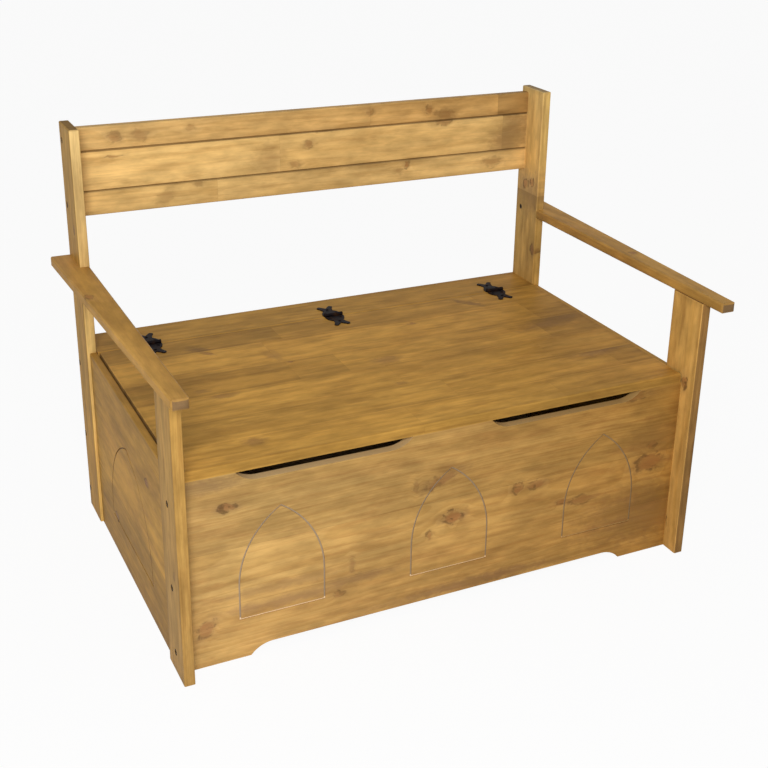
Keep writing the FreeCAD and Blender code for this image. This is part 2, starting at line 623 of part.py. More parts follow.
# Floor of the box on four cleats
floor_panel = box(-INNER_X, INNER_X, FRONT_PANEL_BACK_Y, REAR_PANEL_FRONT_Y, FLOOR_Z, FLOOR_Z + FLOOR_THICKNESS)
cleat_front = box(-INNER_X, INNER_X, FRONT_PANEL_BACK_Y, FRONT_PANEL_BACK_Y + CLEAT_SIZE, CLEAT_Z, FLOOR_Z)
cleat_rear = box(-INNER_X, INNER_X, REAR_PANEL_FRONT_Y - CLEAT_SIZE, REAR_PANEL_FRONT_Y, CLEAT_Z, FLOOR_Z)
cleat_left = box(-INNER_X, -INNER_X + CLEAT_SIZE, FRONT_PANEL_BACK_Y + CLEAT_SIZE,
                 REAR_PANEL_FRONT_Y - CLEAT_SIZE, CLEAT_Z, FLOOR_Z)

# Uprights with their bolt and dowel holes
post = make_upright(POST_FRONT_Y, REAR_Y, POST_HEIGHT, True)
for joint in rear_joints + [top_board_joint, bottom_board_joint]:
    post = post.cut(joint[0])
post = post.cut(arm_upright_hole)
leg = make_upright(LEG_FRONT_Y, LEG_REAR_Y, LEG_HEIGHT, False)
for joint in front_joints:
    leg = leg.cut(joint[0])
for hole in arm_dowel_holes:
    leg = leg.cut(hole)
for hole in side_dowel_holes:
    post = post.cut(hole)
    leg = leg.cut(hole)

arm = make_arm()
side_panel = make_side_panel()
back_top_board = make_back_board(back_upper_joint, back_top, "groove", "round")
back_bottom_board = make_back_board(back_bottom, back_lower_joint, "round", "groove")

panel_joints = front_joints + rear_joints
back_joints = [top_board_joint, bottom_board_joint]

pieces = {
    "rear_post_left": post,
    "rear_post_right": mirrored(post),
    "front_leg_left": leg,
    "front_leg_right": mirrored(leg),
    "arm_left": arm,
    "arm_right": mirrored(arm),
    "back_board_top": with_holes(back_top_board, [top_board_joint]),
    "back_board_middle": make_back_board(back_lower_joint, back_upper_joint, "tongue", "tongue"),
    "back_board_bottom": with_holes(back_bottom_board, [bottom_board_joint]),
    "front_panel": make_front_panel(),
    "rear_panel": make_rear_panel(),
    "side_panel_left": side_panel,
    "side_panel_right": mirrored(side_panel),
    "seat_rear_strip": strip,
    "seat_bearer_left": bearer,
    "seat_bearer_right": mirrored(bearer),
    "floor_panel": floor_panel,
    "floor_cleat_front": cleat_front,
    "floor_cleat_rear": cleat_rear,
    "floor_cleat_left": cleat_left,
    "floor_cleat_right": mirrored(cleat_left),
    "panel_bolts": Part.makeCompound(both_sides([joint[2] for joint in panel_joints])),
    "back_bolts": Part.makeCompound(both_sides([joint[2] for joint in back_joints])),
    "arm_bolts": Part.makeCompound(both_sides([arm_bolt])),
    "barrel_nuts": Part.makeCompound(both_sides([joint[3] for joint in panel_joints + back_joints]
                                                + [arm_nut])),
    "side_dowels": Part.makeCompound(both_sides(side_dowels)),
    "arm_dowels": Part.makeCompound(both_sides(arm_dowels)),
    "strip_dowels": Part.makeCompound(strip_dowels),
    "hinge_pins": Part.makeCompound(pins),
    "lid_batten_left": batten,
    "lid_batten_right": mirrored(batten),
}
for side in hinge_places:
    pieces["hinge_leaf_fixed_" + side] = fixed_leaves[side]
    pieces["hinge_leaf_lid_" + side] = lid_leaves[side]
for index, stave in enumerate(staves):
    pieces["lid_stave_%d" % (index + 1)] = stave

os.makedirs("parts", exist_ok=True)
for name, shape in pieces.items():
    shape.exportStep("parts/" + name + ".step")
    print("%-22s solids %2d  volume %12.1f  valid %s" % (name, len(shape.Solids), shape.Volume, shape.isValid()))
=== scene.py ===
"""Settle bench: knotty pine, black iron hinges, screws, floor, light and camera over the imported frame.

Blender units are metres, in the frame of the CAD: +Z is up, +Y points to the back and +X to the right
when the bench is seen from the front. Places and sizes of wood features are written in millimetres.
"""
import logging
import math
from collections.abc import Sequence
from dataclasses import dataclass
from enum import Enum

import bmesh
import bpy
from mathutils import Matrix, Vector


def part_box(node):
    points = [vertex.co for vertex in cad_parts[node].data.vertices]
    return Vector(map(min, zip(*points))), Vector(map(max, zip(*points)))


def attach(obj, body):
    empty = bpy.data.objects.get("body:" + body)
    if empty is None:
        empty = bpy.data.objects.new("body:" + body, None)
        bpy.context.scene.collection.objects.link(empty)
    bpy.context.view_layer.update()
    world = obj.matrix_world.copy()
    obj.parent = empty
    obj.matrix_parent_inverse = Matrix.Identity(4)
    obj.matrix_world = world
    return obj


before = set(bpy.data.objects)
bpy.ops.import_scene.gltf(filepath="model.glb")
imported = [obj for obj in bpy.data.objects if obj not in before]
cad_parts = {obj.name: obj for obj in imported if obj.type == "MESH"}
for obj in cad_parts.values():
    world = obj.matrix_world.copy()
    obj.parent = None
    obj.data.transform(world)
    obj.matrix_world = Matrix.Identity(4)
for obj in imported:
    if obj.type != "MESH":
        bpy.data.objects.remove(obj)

LOG = logging.getLogger("settle_bench")
MM = 0.001

Colour = tuple[float, float, float]
Socket = bpy.types.NodeSocket
Feed = float | Colour | Socket


class Lie(Enum):
    """How a board lies: the axes of its grain, its width and its thickness."""

    LID = "XYZ"
    PANEL = "XZY"
    POST = "ZYX"
    ARM = "YXZ"
    SIDE = "YZX"


@dataclass(frozen=True)
class Knot:
    """A knot, placed along and across a board's grain, in millimetres."""

    along: float
    across: float
    length: float = 10.0
    width: float = 8.0
    body: float = 1.0
    halo: float = 0.6
    slant: float = 0.0
    bend: float = 1.0


def stain(along: float, across: float, length: float, width: float, halo: float, **more: float) -> Knot:
    """Return a stain: a knot's smear without the knot."""
    return Knot(along, across, length, width, 0, halo, **more)


@dataclass(frozen=True)
class Pine:
    """The colours of one batch of waxed pine, and how it shines."""

    early: Colour = (0.60, 0.355, 0.100)
    late: Colour = (0.44, 0.235, 0.055)
    heart: Colour = (0.37, 0.18, 0.048)
    stain: Colour = (0.255, 0.138, 0.054)
    core: Colour = (0.36, 0.155, 0.044)
    knot: Colour = (0.115, 0.050, 0.014)
    bark: Colour = (0.058, 0.027, 0.011)
    end: Colour = (0.25, 0.15, 0.072)
    roughness: float = 0.52
    gloss: float = 0.06


PINE_PARTS = ("early", "late", "heart", "stain", "core", "knot", "bark", "end")
PALE_PINE = Pine(early=(0.71, 0.415, 0.120), late=(0.53, 0.285, 0.064))
# The back boards' pine is made brighter than the rest: painted light for the stronger light that falls on the
# back.
LIT_BACK_PINE = Pine(early=(0.86, 0.56, 0.210), late=(0.66, 0.40, 0.125), heart=(0.48, 0.265, 0.080))
SEAT_PINE = Pine(early=(0.69, 0.385, 0.082), late=(0.51, 0.26, 0.048), heart=(0.40, 0.20, 0.042))
SIDE_PINE = Pine(early=(0.555, 0.303, 0.060), late=(0.40, 0.202, 0.034))
ARM_PINE = Pine(early=(0.57, 0.315, 0.078), late=(0.42, 0.22, 0.045), end=(0.13, 0.090, 0.062))
BEECH = Pine(early=(0.62, 0.42, 0.22), late=(0.52, 0.32, 0.15), heart=(0.47, 0.27, 0.12))
PLYWOOD = Pine(early=(0.66, 0.49, 0.29), late=(0.55, 0.38, 0.20), heart=(0.48, 0.31, 0.15), roughness=0.62)
GROOVE_GREY: Colour = (0.38, 0.285, 0.175)
GROOVE_DARK: Colour = (0.20, 0.120, 0.055)
# Raw cut wood made paler: painted light on the finger slots' cut face, which lies in the lid's shade.
LIT_CUT_WOOD: Colour = (0.60, 0.41, 0.17)
# Painted highlight on the floor of the arch's base groove, as lit from above.
BASE_LINE_HIGHLIGHT: Colour = (0.95, 0.72, 0.40)
# Near-black painted shade inside the counterbores of the bolts.
HOLE_SHADE: Colour = (0.030, 0.020, 0.012)
EVEN: Colour = (1.0, 1.0, 1.0)
# The seat's colour at its right end: painted shade, as less light falls there.
SEAT_LIGHT_FALLOFF: Colour = (0.90, 0.86, 0.82)

# Where marks in the wood begin and end, in metres: depths from a panel's outside, and heights.
GROOVE_MOUTH = (0.2 * MM, 0.6 * MM)
GROOVE_FLOOR = (2.9 * MM, 2.3 * MM)
ARCH_FOOT = (78 * MM, 80 * MM)
ARCH_TIP = (318 * MM, 312 * MM)
ARCH_BASE = (84.5 * MM, 85.5 * MM)
# Along X the base groove's painted highlight fades into the cut-wood colour.
BASE_HIGHLIGHT_FADE = (120 * MM, 330 * MM)
# Heights of the finger slots' cut face, which is painted light.
SLOT_HEIGHT = (330 * MM, 340 * MM)
# Radii over which the counterbores' painted shade fades out.
COUNTERBORE = (6.8 * MM, 6.0 * MM)
# Width of the lightened arris: partly rubbed pale, partly a painted highlight along rounded arrises.
ARRIS_WIDTH = 4.0 * MM
# Width of the band along a board's arrises that is made darker: painted shade where parts meet, with a little
# dirt.
SHADE_AND_GRIME_WIDTH = 16.0 * MM
GLUE_WIDTH = 0.8 * MM
LINE_WIDTH = 3.4 * MM

# How far the seeds of glued stretches lie apart, along the grain and across it.
BREAK_SEED = 3.7
JOINT_SEED = 17.3

# How knots are torn: scales of noise, and how far places wander in metres.
TEAR_SCALE = (46.0, 78.0, 0.0)
WANDER_SCALE = 55.0
WANDER = (0.018, 0.012, 0.0)

# Where the bolts enter the posts and legs, in millimetres.
PANEL_BOLT_HEIGHTS = (42.0, 176.0, 342.0)
BACK_BOLT_HEIGHTS = (689.0, 820.0)
FRONT_BOLT_Y = -279.0
REAR_BOLT_Y = 374.0

# A hinge leaf's screws: across it and away from the pin in millimetres, and turned in radians.
LEAF_SCREWS = ((-12.5, 14.0, 0.4), (12.5, 14.0, 1.3), (0.0, 36.0, 2.2))
LEAF_THICKNESS = 2.15
STAVES = 6


@dataclass(frozen=True)
class Metal:
    """The look of a metal: its colour, the colour where it is rubbed, and how rough and gritty it is."""

    colour: Colour
    rubbed: Colour
    metallic: float = 1.0
    smooth: float = 0.3
    rough: float = 0.5
    patch: float = 60.0
    grit: float = 700.0
    relief: float = 0.3
    gloss: float = 0.5


BLACK_IRON = Metal((0.006, 0.004, 0.005), (0.034, 0.014, 0.006), 0.0, 0.45, 0.66, 70.0, 900.0, 0.5, 0.06)
BRONZED_STEEL = Metal((0.030, 0.020, 0.012), (0.080, 0.052, 0.028), 1.0, 0.35, 0.6, 120.0, 1500.0, 0.2)
ZINC_STEEL = Metal((0.50, 0.50, 0.47), (0.66, 0.66, 0.64), 1.0, 0.28, 0.45, 90.0, 1200.0, 0.15)


@dataclass(frozen=True)
class Board:
    """One board of the bench: how it was cut and where its knots and glue joints are.

    Knots, joints and breaks are in millimetres of the bench's frame. Joints part the board across its
    width, breaks part it along its grain, and tones has the brightness of each stretch between breaks.
    The tint goes evenly from one end of the grain to the other and is painted light: how brightly and
    warmly the board is lit along it. The narrow faces get a tint of their own, painted light and shade.
    Near its arrises the wood is lightened, partly rubbed pale and partly as a painted highlight, and within
    a wider band along its arrises it is made darker, as painted shade with a little dirt. Lines are the V
    grooves between boards. Outside is the side that has an arch groove, -1 or 1 along the thickness, or 0,
    and groove is the groove's colour. Holes are the counterbores of bolts, which are painted black as shade.
    """

    node: str
    lie: Lie
    seed: float
    pine: Pine = Pine()
    tones: tuple[float, ...] = (1.0,)
    breaks: tuple[float, ...] = ()
    joints: tuple[float, ...] = ()
    knots: tuple[Knot, ...] = ()
    ring: float = 3.4
    wave: float = 9.0
    lines: tuple[float, ...] = ()
    # Tints at the two ends of the grain: painted light, how brightly and how warmly each end is lit.
    light_tint_from: Colour = EVEN
    light_tint_to: Colour = EVEN
    # How much the arrises are lightened: partly rubbed pale, partly a painted highlight.
    wear: float = 0.5
    # How much darker the band along the arrises is: painted shade, with a little dirt.
    shade_and_grime: float = 0.35
    # Tint of the narrow faces: painted light and shade, for faces lit more or less than the rest of the
    # board.
    edge: Colour = EVEN
    outside: int = 0
    groove: Colour = GROOVE_GREY
    holes: tuple[tuple[float, float], ...] = ()


class Sheet:
    """A node tree that is being drawn: adds nodes, writes their inputs and links them."""

    def __init__(self, tree: bpy.types.NodeTree) -> None:
        """Keep the tree to draw in."""
        self.tree = tree

    def feed(self, socket: Socket, value: Feed) -> None:
        """Link a socket to another one, or write a value into it."""
        if isinstance(value, bpy.types.NodeSocket):
            self.tree.links.new(value, socket)
        elif socket.type == "RGBA" and len(value) == 3:
            socket.default_value = (*value, 1.0)
        else:
            socket.default_value = value

    def node(self, kind: str, inputs: dict[str | int, Feed] | None = None,
             **settings: object) -> bpy.types.Node:
        """Add a node."""
        node = self.tree.nodes.new("ShaderNode" + kind)
        for name, value in settings.items():
            setattr(node, name, value)
        for name, value in (inputs or {}).items():
            self.feed(node.inputs[name], value)
        return node

    def math(self, operation: str, *values: Feed, clamp: bool = False) -> Socket:
        """Return the result of a Math node, held between 0 and 1 if clamped."""
        node = self.node("Math", dict(enumerate(values)), operation=operation, use_clamp=clamp)
        return node.outputs[0]

    def times(self, first: Feed, second: Feed) -> Socket:
        """Return the product of two numbers."""
        return self.math("MULTIPLY", first, second)

    def minus(self, first: Feed, second: Feed) -> Socket:
        """Return the first number less the second."""
        return self.math("SUBTRACT", first, second)

    def scaled(self, vector: Feed, factors: Feed) -> Socket:
        """Return the vector times factors, axis by axis."""
        return self.node("VectorMath", {0: vector, 1: factors}, operation="MULTIPLY").outputs[0]

    def moved(self, vector: Feed, by: Feed) -> Socket:
        """Return the vector plus another one."""
        return self.node("VectorMath", {0: vector, 1: by}, operation="ADD").outputs[0]

    def split(self, vector: Feed) -> tuple[Socket, Socket, Socket]:
        """Return a vector's three parts."""
        outputs = self.node("SeparateXYZ", {0: vector}).outputs
        return outputs[0], outputs[1], outputs[2]

    def length(self, vector: Feed) -> Socket:
        """Return how long a vector is."""
        return self.node("VectorMath", {0: vector}, operation="LENGTH").outputs["Value"]

    def joined(self, *parts: Feed) -> Socket:
        """Return a vector made of three parts."""
        return self.node("CombineXYZ", dict(enumerate(parts))).outputs[0]

    def fade(self, value: Feed, low: Feed, high: Feed, start: Feed = 0.0, end: Feed = 1.0) -> Socket:
        """Go smoothly from start, where the value is at low, to end, where it is at high or past it."""
        node = self.node("MapRange", {0: value, 1: low, 2: high, 3: start, 4: end},
                         interpolation_type="SMOOTHSTEP")
        return node.outputs[0]

    def noise(self, vector: Feed, detail: float = 2.0, roughness: float = 0.5,
              distortion: float = 0.0) -> Socket:
        """Return 3D noise of unit size at the vector, from 0 to 1 with a mean of a half."""
        node = self.node("TexNoise", {"Vector": vector, "Scale": 1.0, "Detail": detail,
                                      "Roughness": roughness, "Distortion": distortion})
        return node.outputs[0]

    def drift(self, value: Feed, detail: float = 1.0) -> Socket:
        """Return noise along a line, read at the value."""
        node = self.node("TexNoise", noise_dimensions="1D")
        self.feed(node.inputs["W"], value)
        self.feed(node.inputs["Scale"], 1.0)
        self.feed(node.inputs["Detail"], detail)
        return node.outputs[0]

    def mix(self, factor: Feed, first: Feed, second: Feed) -> Socket:
        """Return two colours mixed, where the factor is the share of the second."""
        node = self.node("Mix", {0: factor, 6: first, 7: second}, data_type="RGBA")
        return node.outputs[2]

    def tint(self, colour: Feed, brightness: Feed) -> Socket:
        """Return the colour times a brightness."""
        node = self.node("VectorMath", {0: colour, "Scale": brightness}, operation="SCALE")
        return node.outputs[0]


def fresh(owner: bpy.types.Material | bpy.types.World) -> Sheet:
    """Return an empty sheet on a material or a world."""
    owner.use_nodes = True
    owner.node_tree.nodes.clear()
    return Sheet(owner.node_tree)


def values(*names: str) -> dict[str, str]:
    """Return the sockets of a group that hold numbers."""
    return dict.fromkeys(names, "value")


class Group:
    """A shared node group: its sockets, and a sheet to draw its inside on."""

    KINDS = {"value": "NodeSocketFloat", "vector": "NodeSocketVector", "colour": "NodeSocketColor"}

    def __init__(self, name: str, inputs: dict[str, str], outputs: dict[str, str]) -> None:
        """Make the empty group.

        Args:
            name: The group's name.
            inputs: The kind of each input, by name.
            outputs: The kind of each output, by name.
        """
        self.tree = bpy.data.node_groups.new(name, "ShaderNodeTree")
        for label, kind in inputs.items():
            self.tree.interface.new_socket(name=label, in_out="INPUT", socket_type=self.KINDS[kind])
        for label, kind in outputs.items():
            self.tree.interface.new_socket(name=label, in_out="OUTPUT", socket_type=self.KINDS[kind])
        self.sheet = Sheet(self.tree)
        self.inputs = self.tree.nodes.new("NodeGroupInput").outputs
        self.results = self.tree.nodes.new("NodeGroupOutput").inputs

    def give(self, **results: Socket) -> None:
        """Link what the group puts out, by output name in lower case with underscores."""
        for name, value in results.items():
            self.sheet.feed(self.results[name.replace("_", " ").title()], value)

    def use(self, sheet: Sheet, inputs: dict[str, Feed]) -> bpy.types.NodeOutputs:
        """Place the group in a material."""
        node = sheet.tree.nodes.new("ShaderNodeGroup")
        node.node_tree = self.tree
        for name, value in inputs.items():
            sheet.feed(node.inputs[name], value)
        return node.outputs


class WoodEffects:
    """The shader groups that the wooden pieces share."""

    def __init__(self) -> None:
        """Build every group once."""
        self.rings = self.build_rings()
        self.knot = self.build_knot()
        self.lamella = self.build_lamella()
        self.arris = self.build_arris()
        self.pine = self.build_pine()

    @staticmethod
    def build_rings() -> Group:
        """Build the growth rings of a board cut from a log.

        Returns:
            A group that reads a place on the board, grain along X, and the bend that knots give the rings.
        """
        group = Group("Growth Rings",
                      {"Vector": "vector", **values("Seed", "Middle", "Ring Width", "Waviness", "Bend")},
                      values("Late Wood", "Band", "Fibre", "Streak"))
        s, i = group.sheet, group.inputs
        shift = s.node("TexWhiteNoise", {"W": i["Seed"]}, noise_dimensions="1D").outputs["Color"]
        place = s.moved(i["Vector"], s.scaled(shift, (7.0, 5.0, 3.0)))
        side, deep, _ = s.split(shift)
        slow = s.noise(s.scaled(place, (1.5, 6.0, 6.0)), 2.0)
        wave = s.times(s.minus(slow, 0.5), s.times(i["Waviness"], 2.0))
        _, across, depth = s.split(i["Vector"])
        pith_across = s.math("ADD", i["Middle"], s.times(s.minus(side, 0.5), 0.13))
        pith_depth = s.math("ADD", s.times(deep, 0.05), 0.018)
        from_pith = s.joined(0.0, s.minus(across, pith_across), s.math("ADD", depth, pith_depth))
        radius = s.length(from_pith)
        age = s.math("DIVIDE", s.math("ADD", s.math("ADD", radius, wave), i["Bend"]), i["Ring Width"])
        jitter = s.times(s.minus(s.drift(s.times(age, 0.5)), 0.5), 1.5)
        year = s.math("ADD", age, jitter)
        turn = s.math("FRACT", year)
        whole = s.math("FLOOR", year)
        strength = s.node("TexWhiteNoise", {"W": whole}, noise_dimensions="1D").outputs["Value"]
        late = s.times(s.fade(turn, 0.25, 0.9), s.fade(turn, 1.0, 0.92))
        late = s.times(late, s.math("MULTIPLY_ADD", strength, 0.6, 0.4))
        band = s.fade(s.drift(s.times(age, 0.16), 2.0), 0.36, 0.66)
        fibre = s.noise(s.scaled(place, (16.0, 520.0, 520.0)), 3.0, 0.6)
        streak = s.fade(s.noise(s.scaled(place, (7.0, 88.0, 88.0)), 4.0, 0.62), 0.44, 0.70)
        group.give(late_wood=late, band=band, fibre=fibre, streak=streak)
        return group

    @staticmethod
    def build_knot() -> Group:
        """Build one knot, which is added to those that came before it.

        Returns:
            A group whose outputs are the marks of all knots so far.
        """
        marks = values("Body", "Rim", "Halo", "Bend")
        own = values("Ragged", "Along", "Across", "Length", "Width", "Slant",
                     "Body Strength", "Halo Strength", "Bend Strength")
        before = values(*(mark + " Before" for mark in marks))
        group = Group("Knot", {"Vector": "vector", **own, **before}, marks)
        s, i = group.sheet, group.inputs
        along, across, _ = s.split(i["Vector"])
        offset = s.joined(s.minus(along, i["Along"]), s.minus(across, i["Across"]), 0.0)
        turned = s.node("VectorRotate", {"Vector": offset, "Angle": s.times(i["Slant"], -1.0)},
                        rotation_type="Z_AXIS").outputs[0]
        u, v, _ = s.split(turned)
        scaled = s.joined(s.math("DIVIDE", u, i["Length"]), s.math("DIVIDE", v, i["Width"]), 0.0)
        reach = s.length(scaled)
        torn = s.minus(i["Ragged"], 0.5)
        outline = s.math("MULTIPLY_ADD", torn, 0.95, reach)
        body = s.times(s.fade(outline, 1.1, 0.55), i["Body Strength"])
        rim = s.times(s.fade(outline, 0.62, 0.92), s.fade(outline, 1.3, 0.98))
        rim = s.times(rim, s.times(i["Body Strength"], s.fade(torn, 0.09, -0.10)))
        smear = s.length(s.scaled(scaled, (0.55, 0.8, 0.0)))
        halo = s.fade(s.math("MULTIPLY_ADD", torn, 1.3, smear), 1.35, 0.25)
        halo = s.times(halo, i["Halo Strength"])
        swell = s.math("EXPONENT", s.times(s.times(reach, reach), -0.32))
        bend = s.times(s.times(swell, i["Width"]), i["Bend Strength"])
        group.give(bend=s.math("ADD", bend, i["Bend Before"]),
                   **{name.lower(): s.math("MAXIMUM", mark, i[name + " Before"])
                      for name, mark in (("Body", body), ("Rim", rim), ("Halo", halo))})
        return group

    @staticmethod
    def build_lamella() -> Group:
        """Build the change from one glued stretch of wood to the next.

        Returns:
            A group that passes on the seed and tone of the stretch, and marks the glue line.
        """
        group = Group("Lamella",
                      values("Position", "At", "Seed Before", "Seed After", "Tone Before", "Tone After",
                             "Seam Before", "Strength", "Width"),
                      values("Seed", "Tone", "Seam"))
        s, i = group.sheet, group.inputs
        past = s.math("GREATER_THAN", i["Position"], i["At"])
        seed = s.node("Mix", {0: past, 2: i["Seed Before"], 3: i["Seed After"]}, data_type="FLOAT").outputs[0]
        tone = s.node("Mix", {0: past, 2: i["Tone Before"], 3: i["Tone After"]}, data_type="FLOAT").outputs[0]
        gap = s.math("ABSOLUTE", s.minus(i["Position"], i["At"]))
        seam = s.times(s.fade(gap, i["Width"], s.times(i["Width"], 0.3)), i["Strength"])
        seam = s.math("MAXIMUM", seam, i["Seam Before"])
        group.give(seed=seed, tone=tone, seam=seam)
        return group

    @staticmethod
    def build_arris() -> Group:
        """Build the mark of what lies near the edges of a box.

        Returns:
            A group that is 1 where two faces of the box meet, and 0 further from it than the width.
        """
        group = Group("Arris", {"Vector": "vector", "Low": "vector", "High": "vector", "Width": "value"},
                      values("Mark"))
        s, i = group.sheet, group.inputs
        below = s.node("VectorMath", {0: i["Vector"], 1: i["Low"]}, operation="SUBTRACT").outputs[0]
        above = s.node("VectorMath", {0: i["High"], 1: i["Vector"]}, operation="SUBTRACT").outputs[0]
        nearest = s.node("VectorMath", {0: below, 1: above}, operation="MINIMUM").outputs[0]
        x, y, z = s.split(nearest)
        second = s.math("MAXIMUM", s.math("MINIMUM", x, y), s.math("MINIMUM", s.math("MAXIMUM", x, y), z))
        group.give(mark=s.fade(second, i["Width"], 0.0))
        return group

    @staticmethod
    def build_pine() -> Group:
        """Build the look of waxed pine from its marks.

        Returns:
            A group that gives the colour, roughness and height of the wood.
        """
        colours = {f"{part.title()} Colour": "colour" for part in PINE_PARTS}
        marks = values("Late Wood", "Band", "Fibre", "Streak", "Body", "Rim", "Halo", "Ragged", "Seam",
                       "End Grain", "Highlight And Wear", "Shade And Grime", "Tone", "Base Roughness")
        group = Group("Waxed Pine", {"Vector": "vector", **marks, **colours},
                      {"Colour": "colour", **values("Roughness", "Height")})
        s, i = group.sheet, group.inputs
        wide = s.noise(s.scaled(i["Vector"], (4.0, 11.0, 11.0)), 3.0, 0.6)
        small = s.noise(s.scaled(i["Vector"], (15.0, 42.0, 42.0)), 3.0, 0.6)
        blotch = s.times(s.math("ADD", wide, small), 0.5)
        hue = s.noise(s.scaled(i["Vector"], (2.2, 6.0, 6.0)), 1.0)
        colour = s.mix(s.times(i["Late Wood"], 0.48), i["Early Colour"], i["Late Colour"])
        for mark, share, part in (("Band", 0.34, "Late"), ("Streak", 0.46, "Heart")):
            colour = s.mix(s.times(i[mark], share), colour, i[part + " Colour"])
        colour = s.mix(s.fade(hue, 0.42, 0.75, 0.0, 0.22), colour, i["Heart Colour"])
        smudge = s.noise(s.scaled(s.moved(i["Vector"], (0.7, 0.3, 0.2)), (8.0, 30.0, 30.0)), 4.0, 0.62)
        colour = s.mix(s.fade(smudge, 0.54, 0.74, 0.0, 0.5), colour, i["Heart Colour"])
        halo = s.times(i["Halo"], s.fade(small, 0.3, 0.6, 0.5, 1.0))
        colour = s.mix(s.times(halo, 0.8), colour, i["Stain Colour"])
        core = s.mix(s.fade(i["Ragged"], 0.47, 0.33), i["Core Colour"], i["Knot Colour"])
        ripple = s.math("MULTIPLY_ADD", i["Streak"], 0.3, 0.66)
        colour = s.mix(s.times(i["Body"], ripple), colour, core)
        for mark, share, part in (("Rim", 0.6, "Bark"), ("Seam", 0.5, "Bark"), ("End Grain", 0.72, "End")):
            colour = s.mix(s.times(i[mark], share), colour, i[part + " Colour"])
        # Arrises lightened towards a paler early wood: partly rubbed pale, partly a painted highlight.
        colour = s.mix(s.times(i["Highlight And Wear"], 0.5), colour, s.tint(i["Early Colour"], 1.4))
        # Along the arrises the colour goes towards the knot colour: painted shade, with a little dirt.
        colour = s.mix(s.times(i["Shade And Grime"], 0.55), colour, i["Knot Colour"])
        fine = s.math("MULTIPLY_ADD", i["Fibre"], 0.22, 0.89)
        patchy = s.fade(blotch, 0.30, 0.70, 0.74, 1.24)
        colour = s.tint(colour, s.times(s.times(fine, patchy), i["Tone"]))
        rough = s.math("MULTIPLY_ADD", i["Fibre"], 0.16, i["Base Roughness"])
        rough = s.math("MULTIPLY_ADD", i["End Grain"], 0.22, s.minus(rough, 0.08))
        rough = s.math("MULTIPLY_ADD", i["Body"], -0.08, rough, clamp=True)
        height = s.math("MULTIPLY_ADD", i["Late Wood"], 0.5, s.times(i["Fibre"], 0.5))
        height = s.math("MULTIPLY_ADD", i["Rim"], -0.8, height)
        height = s.math("MULTIPLY_ADD", i["Seam"], -1.2, height)
        group.give(colour=colour, roughness=rough, height=height)
        return group


